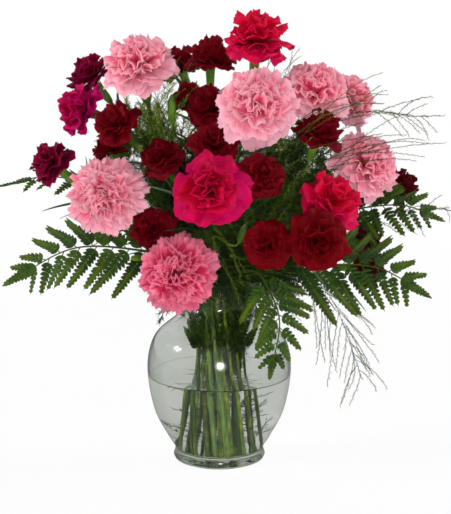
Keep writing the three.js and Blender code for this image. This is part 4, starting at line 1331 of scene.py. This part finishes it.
class Plume:  # the twigs of one plume, each a line with side twigs and needles
    def __init__(self, chance):
        self.chance = chance
        self.shapes, self.tints, self.lines = [], [], []

    def store(self, roots, ways, lengths, width, marks, tone):
        self.shapes.append(needles(roots, ways, lengths, width, self.chance))
        own = self.chance.uniform(size=len(marks))
        self.tints.append(np.stack([np.full(len(marks), tone), marks, own], axis=1))

    def leant(self, ways, degrees, low, high):  # each way leans to some side
        side = squareTo(ways, self.chance)
        angle = np.radians(degrees) * self.chance.uniform(low, high, len(ways))
        return ways * np.cos(angle)[:, None] + side * np.sin(angle)[:, None]

    def dress(self, line, kind, tone):
        chance = self.chance
        spread, width, broad = twigKinds[kind]
        count = max(3, int(lineLength(line) / plumeLook["stations"]))
        marks = np.linspace(0.12, 0.99, count)
        roots, ways = alongLine(line, marks)
        sideWays = self.leant(ways, spread, 0.7, 1.2)
        sizes = width * (0.35 + 0.65 * np.sin(np.pi * marks**0.8)) * chance.uniform(0.6, 1.15, count)
        self.store(roots, sideWays, sizes, 0.75 * broad * plumeLook["needleWidth"], marks, tone)
        for step in np.linspace(0.15, 0.95, max(2, int(width / 2.6))):
            places = roots + sideWays * (sizes * step)[:, None]
            for _ in range(2):
                out = self.leant(sideWays, spread * 0.9, 0.6, 1.3)
                lengths = chance.uniform(*plumeLook["needle"], count) * (0.55 + 0.45 * width / 12)
                self.store(places, out, lengths * broad**0.5, broad * plumeLook["needleWidth"], marks, tone)

    def twig(self, line, kind, tone):
        thick = min(twigKinds[kind][2], 1) * plumeLook["twigRadius"]
        self.lines.append((line, np.linspace(thick, 0.16, len(line))))
        self.dress(line, kind, tone)


def looseTwigs(plume, plan, rib, chance):  # the outer twigs along the leafy stretch
    face = unit(plan["faces"])
    wanted = plan["wisps"]
    for k in range(wanted):
        share = 0.06 + 0.92 * (k + chance.uniform(0, 0.6)) / wanted
        (root,), (along,) = alongLine(rib, [min(share, 0.99)])
        side = unit(np.cross(along, face))
        roll = chance.normal(0, 0.75)
        hand = 1 if k % 2 else -1
        out = unit(along * chance.uniform(0.75, 1.5) + hand * math.cos(roll) * side + math.sin(roll) * face)
        length = plan["longest"] * (1 - 0.66 * share) * chance.uniform(0.6, 1.05)
        end = root + out * length - np.array((0, 0, plan["hang"] * length))
        line = twigCurve(root, end, 0.14, chance, 0.11)
        if clearOfBlooms(line, 0.5) and vaseGap(line, True) > 8:
            plume.twig(line, "loose", chance.uniform(0.6, 1.0))


def strayTwigs(plume, plan, chance):  # thin bright ones that cross in front of the rest
    for start, end, wanted in plan["strays"]:
        made = 0
        for _ in range(wanted * 10):
            root = start + chance.normal(0, 9, 3)
            line = twigCurve(root, end + chance.normal(0, (14, 5, 15)), 0.12, chance, 0.09)
            if made < wanted and clearOfBlooms(line, 0.42):
                plume.twig(line, "stray", chance.uniform(0.7, 1.0))
                made += 1


def insideTwigs(plume, plan, route, chance):  # the soft green mass between the blooms
    made = 0
    middle, reach, wanted = plan["fill"]
    for _ in range(wanted * 10):
        spot = middle + np.array(reach) * unit(chance.normal(size=3)) * chance.uniform(0.2, 1) ** 0.5
        (root,), _ = alongLine(route, [chance.uniform(0.25, 0.8)])
        root = root + (spot - root) * 0.12
        if not 36 < np.linalg.norm(spot - root) < 130 or root[2] < 178 or spot[2] < 176:
            continue
        line = twigCurve(root, spot, 0.12, chance)
        if made < wanted and clearOfBlooms(line[3:], 0.44) and vaseGap(line, spot[2] < 196) > 5:
            # painted light and shade: twigs that reach high are made lighter, those low near the neck darker
            high = 0.45 * smoothStep(270, 370, spot[2])
            low = 0.3 * (1 - smoothStep(200, 270, spot[2]))
            light = chance.uniform(0, 0.7) + high - low
            # every fourth twig is a lighter strand, partly painted as a highlight
            if made % 4 == 0:
                plume.twig(line, "bright", light + 0.6)
            else:
                plume.twig(line, "soft", light)
            made += 1


def apronTwigs(plume, chance):  # over the rim, most of them at the front and right
    made = 0
    for _ in range(plumeLook["apron"] * 10):
        turn = math.radians(chance.uniform(-180, 180) if made % 4 == 0 else chance.uniform(-140, 10))
        way = np.array((math.cos(turn), math.sin(turn), 0))
        start = way * chance.uniform(10, 30) + (0, 0, chance.uniform(199, 210))
        end = way * chance.uniform(58, 84) + (0, 0, chance.uniform(150, 200))
        line = twigCurve(start, end, 0.36, chance)
        if made < plumeLook["apron"] and vaseGap(line, True) > 5 and clearOfBlooms(line[4:], 0.42):
            plume.twig(line, "apron", chance.uniform(0, 0.55))
            made += 1


def sunkTwigs(plume, route, chance):  # upright ones among the stems in the neck, kept dark as painted shade there, and wisps in the water
    made = 0
    wallReach = outsideLine(vase["rings"])[0][:, [2, 0]].T
    for _ in range(plumeLook["sunk"] * 8):
        wisp = made % 5 == 0
        height = chance.uniform(24, 80) if wisp else chance.uniform(86, 154)
        root = atHeight(route[:30], height - 14)
        turn = math.radians(chance.uniform(-180, 180) if wisp else chance.uniform(-170, -10))
        reach = chance.uniform(0.55, 1) * min(46 if wisp else 32, np.interp(height, *wallReach) - 10)
        climb = chance.uniform(0, 12) if wisp else chance.uniform(26, 54)
        end = np.array((reach * math.cos(turn), reach * math.sin(turn), height + climb))
        line = twigCurve(root, end, 0.05, chance)
        if made < plumeLook["sunk"] and end[2] < 190 and vaseGap(line, False) > 4:
            if wisp:
                plume.twig(line, "wisp", chance.uniform(0.1, 0.5))
            else:
                # dark tones: partly painted shade in the neck
                plume.twig(line, "sunk", chance.uniform(0, 0.6))
            made += 1


def makePlume(name, seed):
    chance = np.random.default_rng(seed)
    route, rib = stalkRoute(plumes[name])
    plume = Plume(chance)
    looseTwigs(plume, plumes[name], rib, chance)
    plume.dress(rib[:30], "rib", chance.uniform())
    strayTwigs(plume, plumes[name], chance)
    insideTwigs(plume, plumes[name], route, chance)
    apronTwigs(plume, chance)
    sunkTwigs(plume, route, chance)
    line, _ = evenly(route, 5)
    taper = plumeLook["stalk"] * (1 - 0.84 * smoothStep(0.35, 0.85, np.linspace(0, 1, len(line))))
    stalk = tinted(tubes(name, [(line, taper), *plume.lines], 0), (0.5, 0.2, 0.5))
    shapes = np.concatenate(plume.shapes) * mm
    tints = np.concatenate(plume.tints)
    print(name, len(shapes), "needles")
    leaves = sheetMesh(name, shapes, needleFaces, np.zeros((4, 2)), tints, "leafMap")
    return joined(name + "_plume", [leaves, stalk])


def plumePaint():
    paint = Paint("asparagus fern")
    tone, mark, own = paint.tint()
    place = paint.objectPlace()
    patch = paint.noise(place, 16.0, 2.0)
    fleck = paint.noise(place, 260.0, 2.0)
    value = tone * 0.45 + own * 0.2 + mark * 0.15 + patch * 0.2
    colour = paint.ramp(value, [
        (0.25, (0.005, 0.015, 0.001)), (0.5, (0.022, 0.053, 0.002)),
        (0.64, (0.09, 0.17, 0.008)), (0.8, (0.27, 0.37, 0.04)),
    ])
    return paint.finish({
        "Base Color": colour,
        "Roughness": paint.ranged(fleck, 0.3, 0.7, 0.45, 0.62),
        "Specular IOR Level": 0.3,
        "Normal": paint.bump(fleck, 0.0003, 0.4),
    })


plumeGreen = plumePaint()
for seed, name in enumerate(plumes, 1500):
    finishPiece(makePlume(name, seed), plumeGreen, name)


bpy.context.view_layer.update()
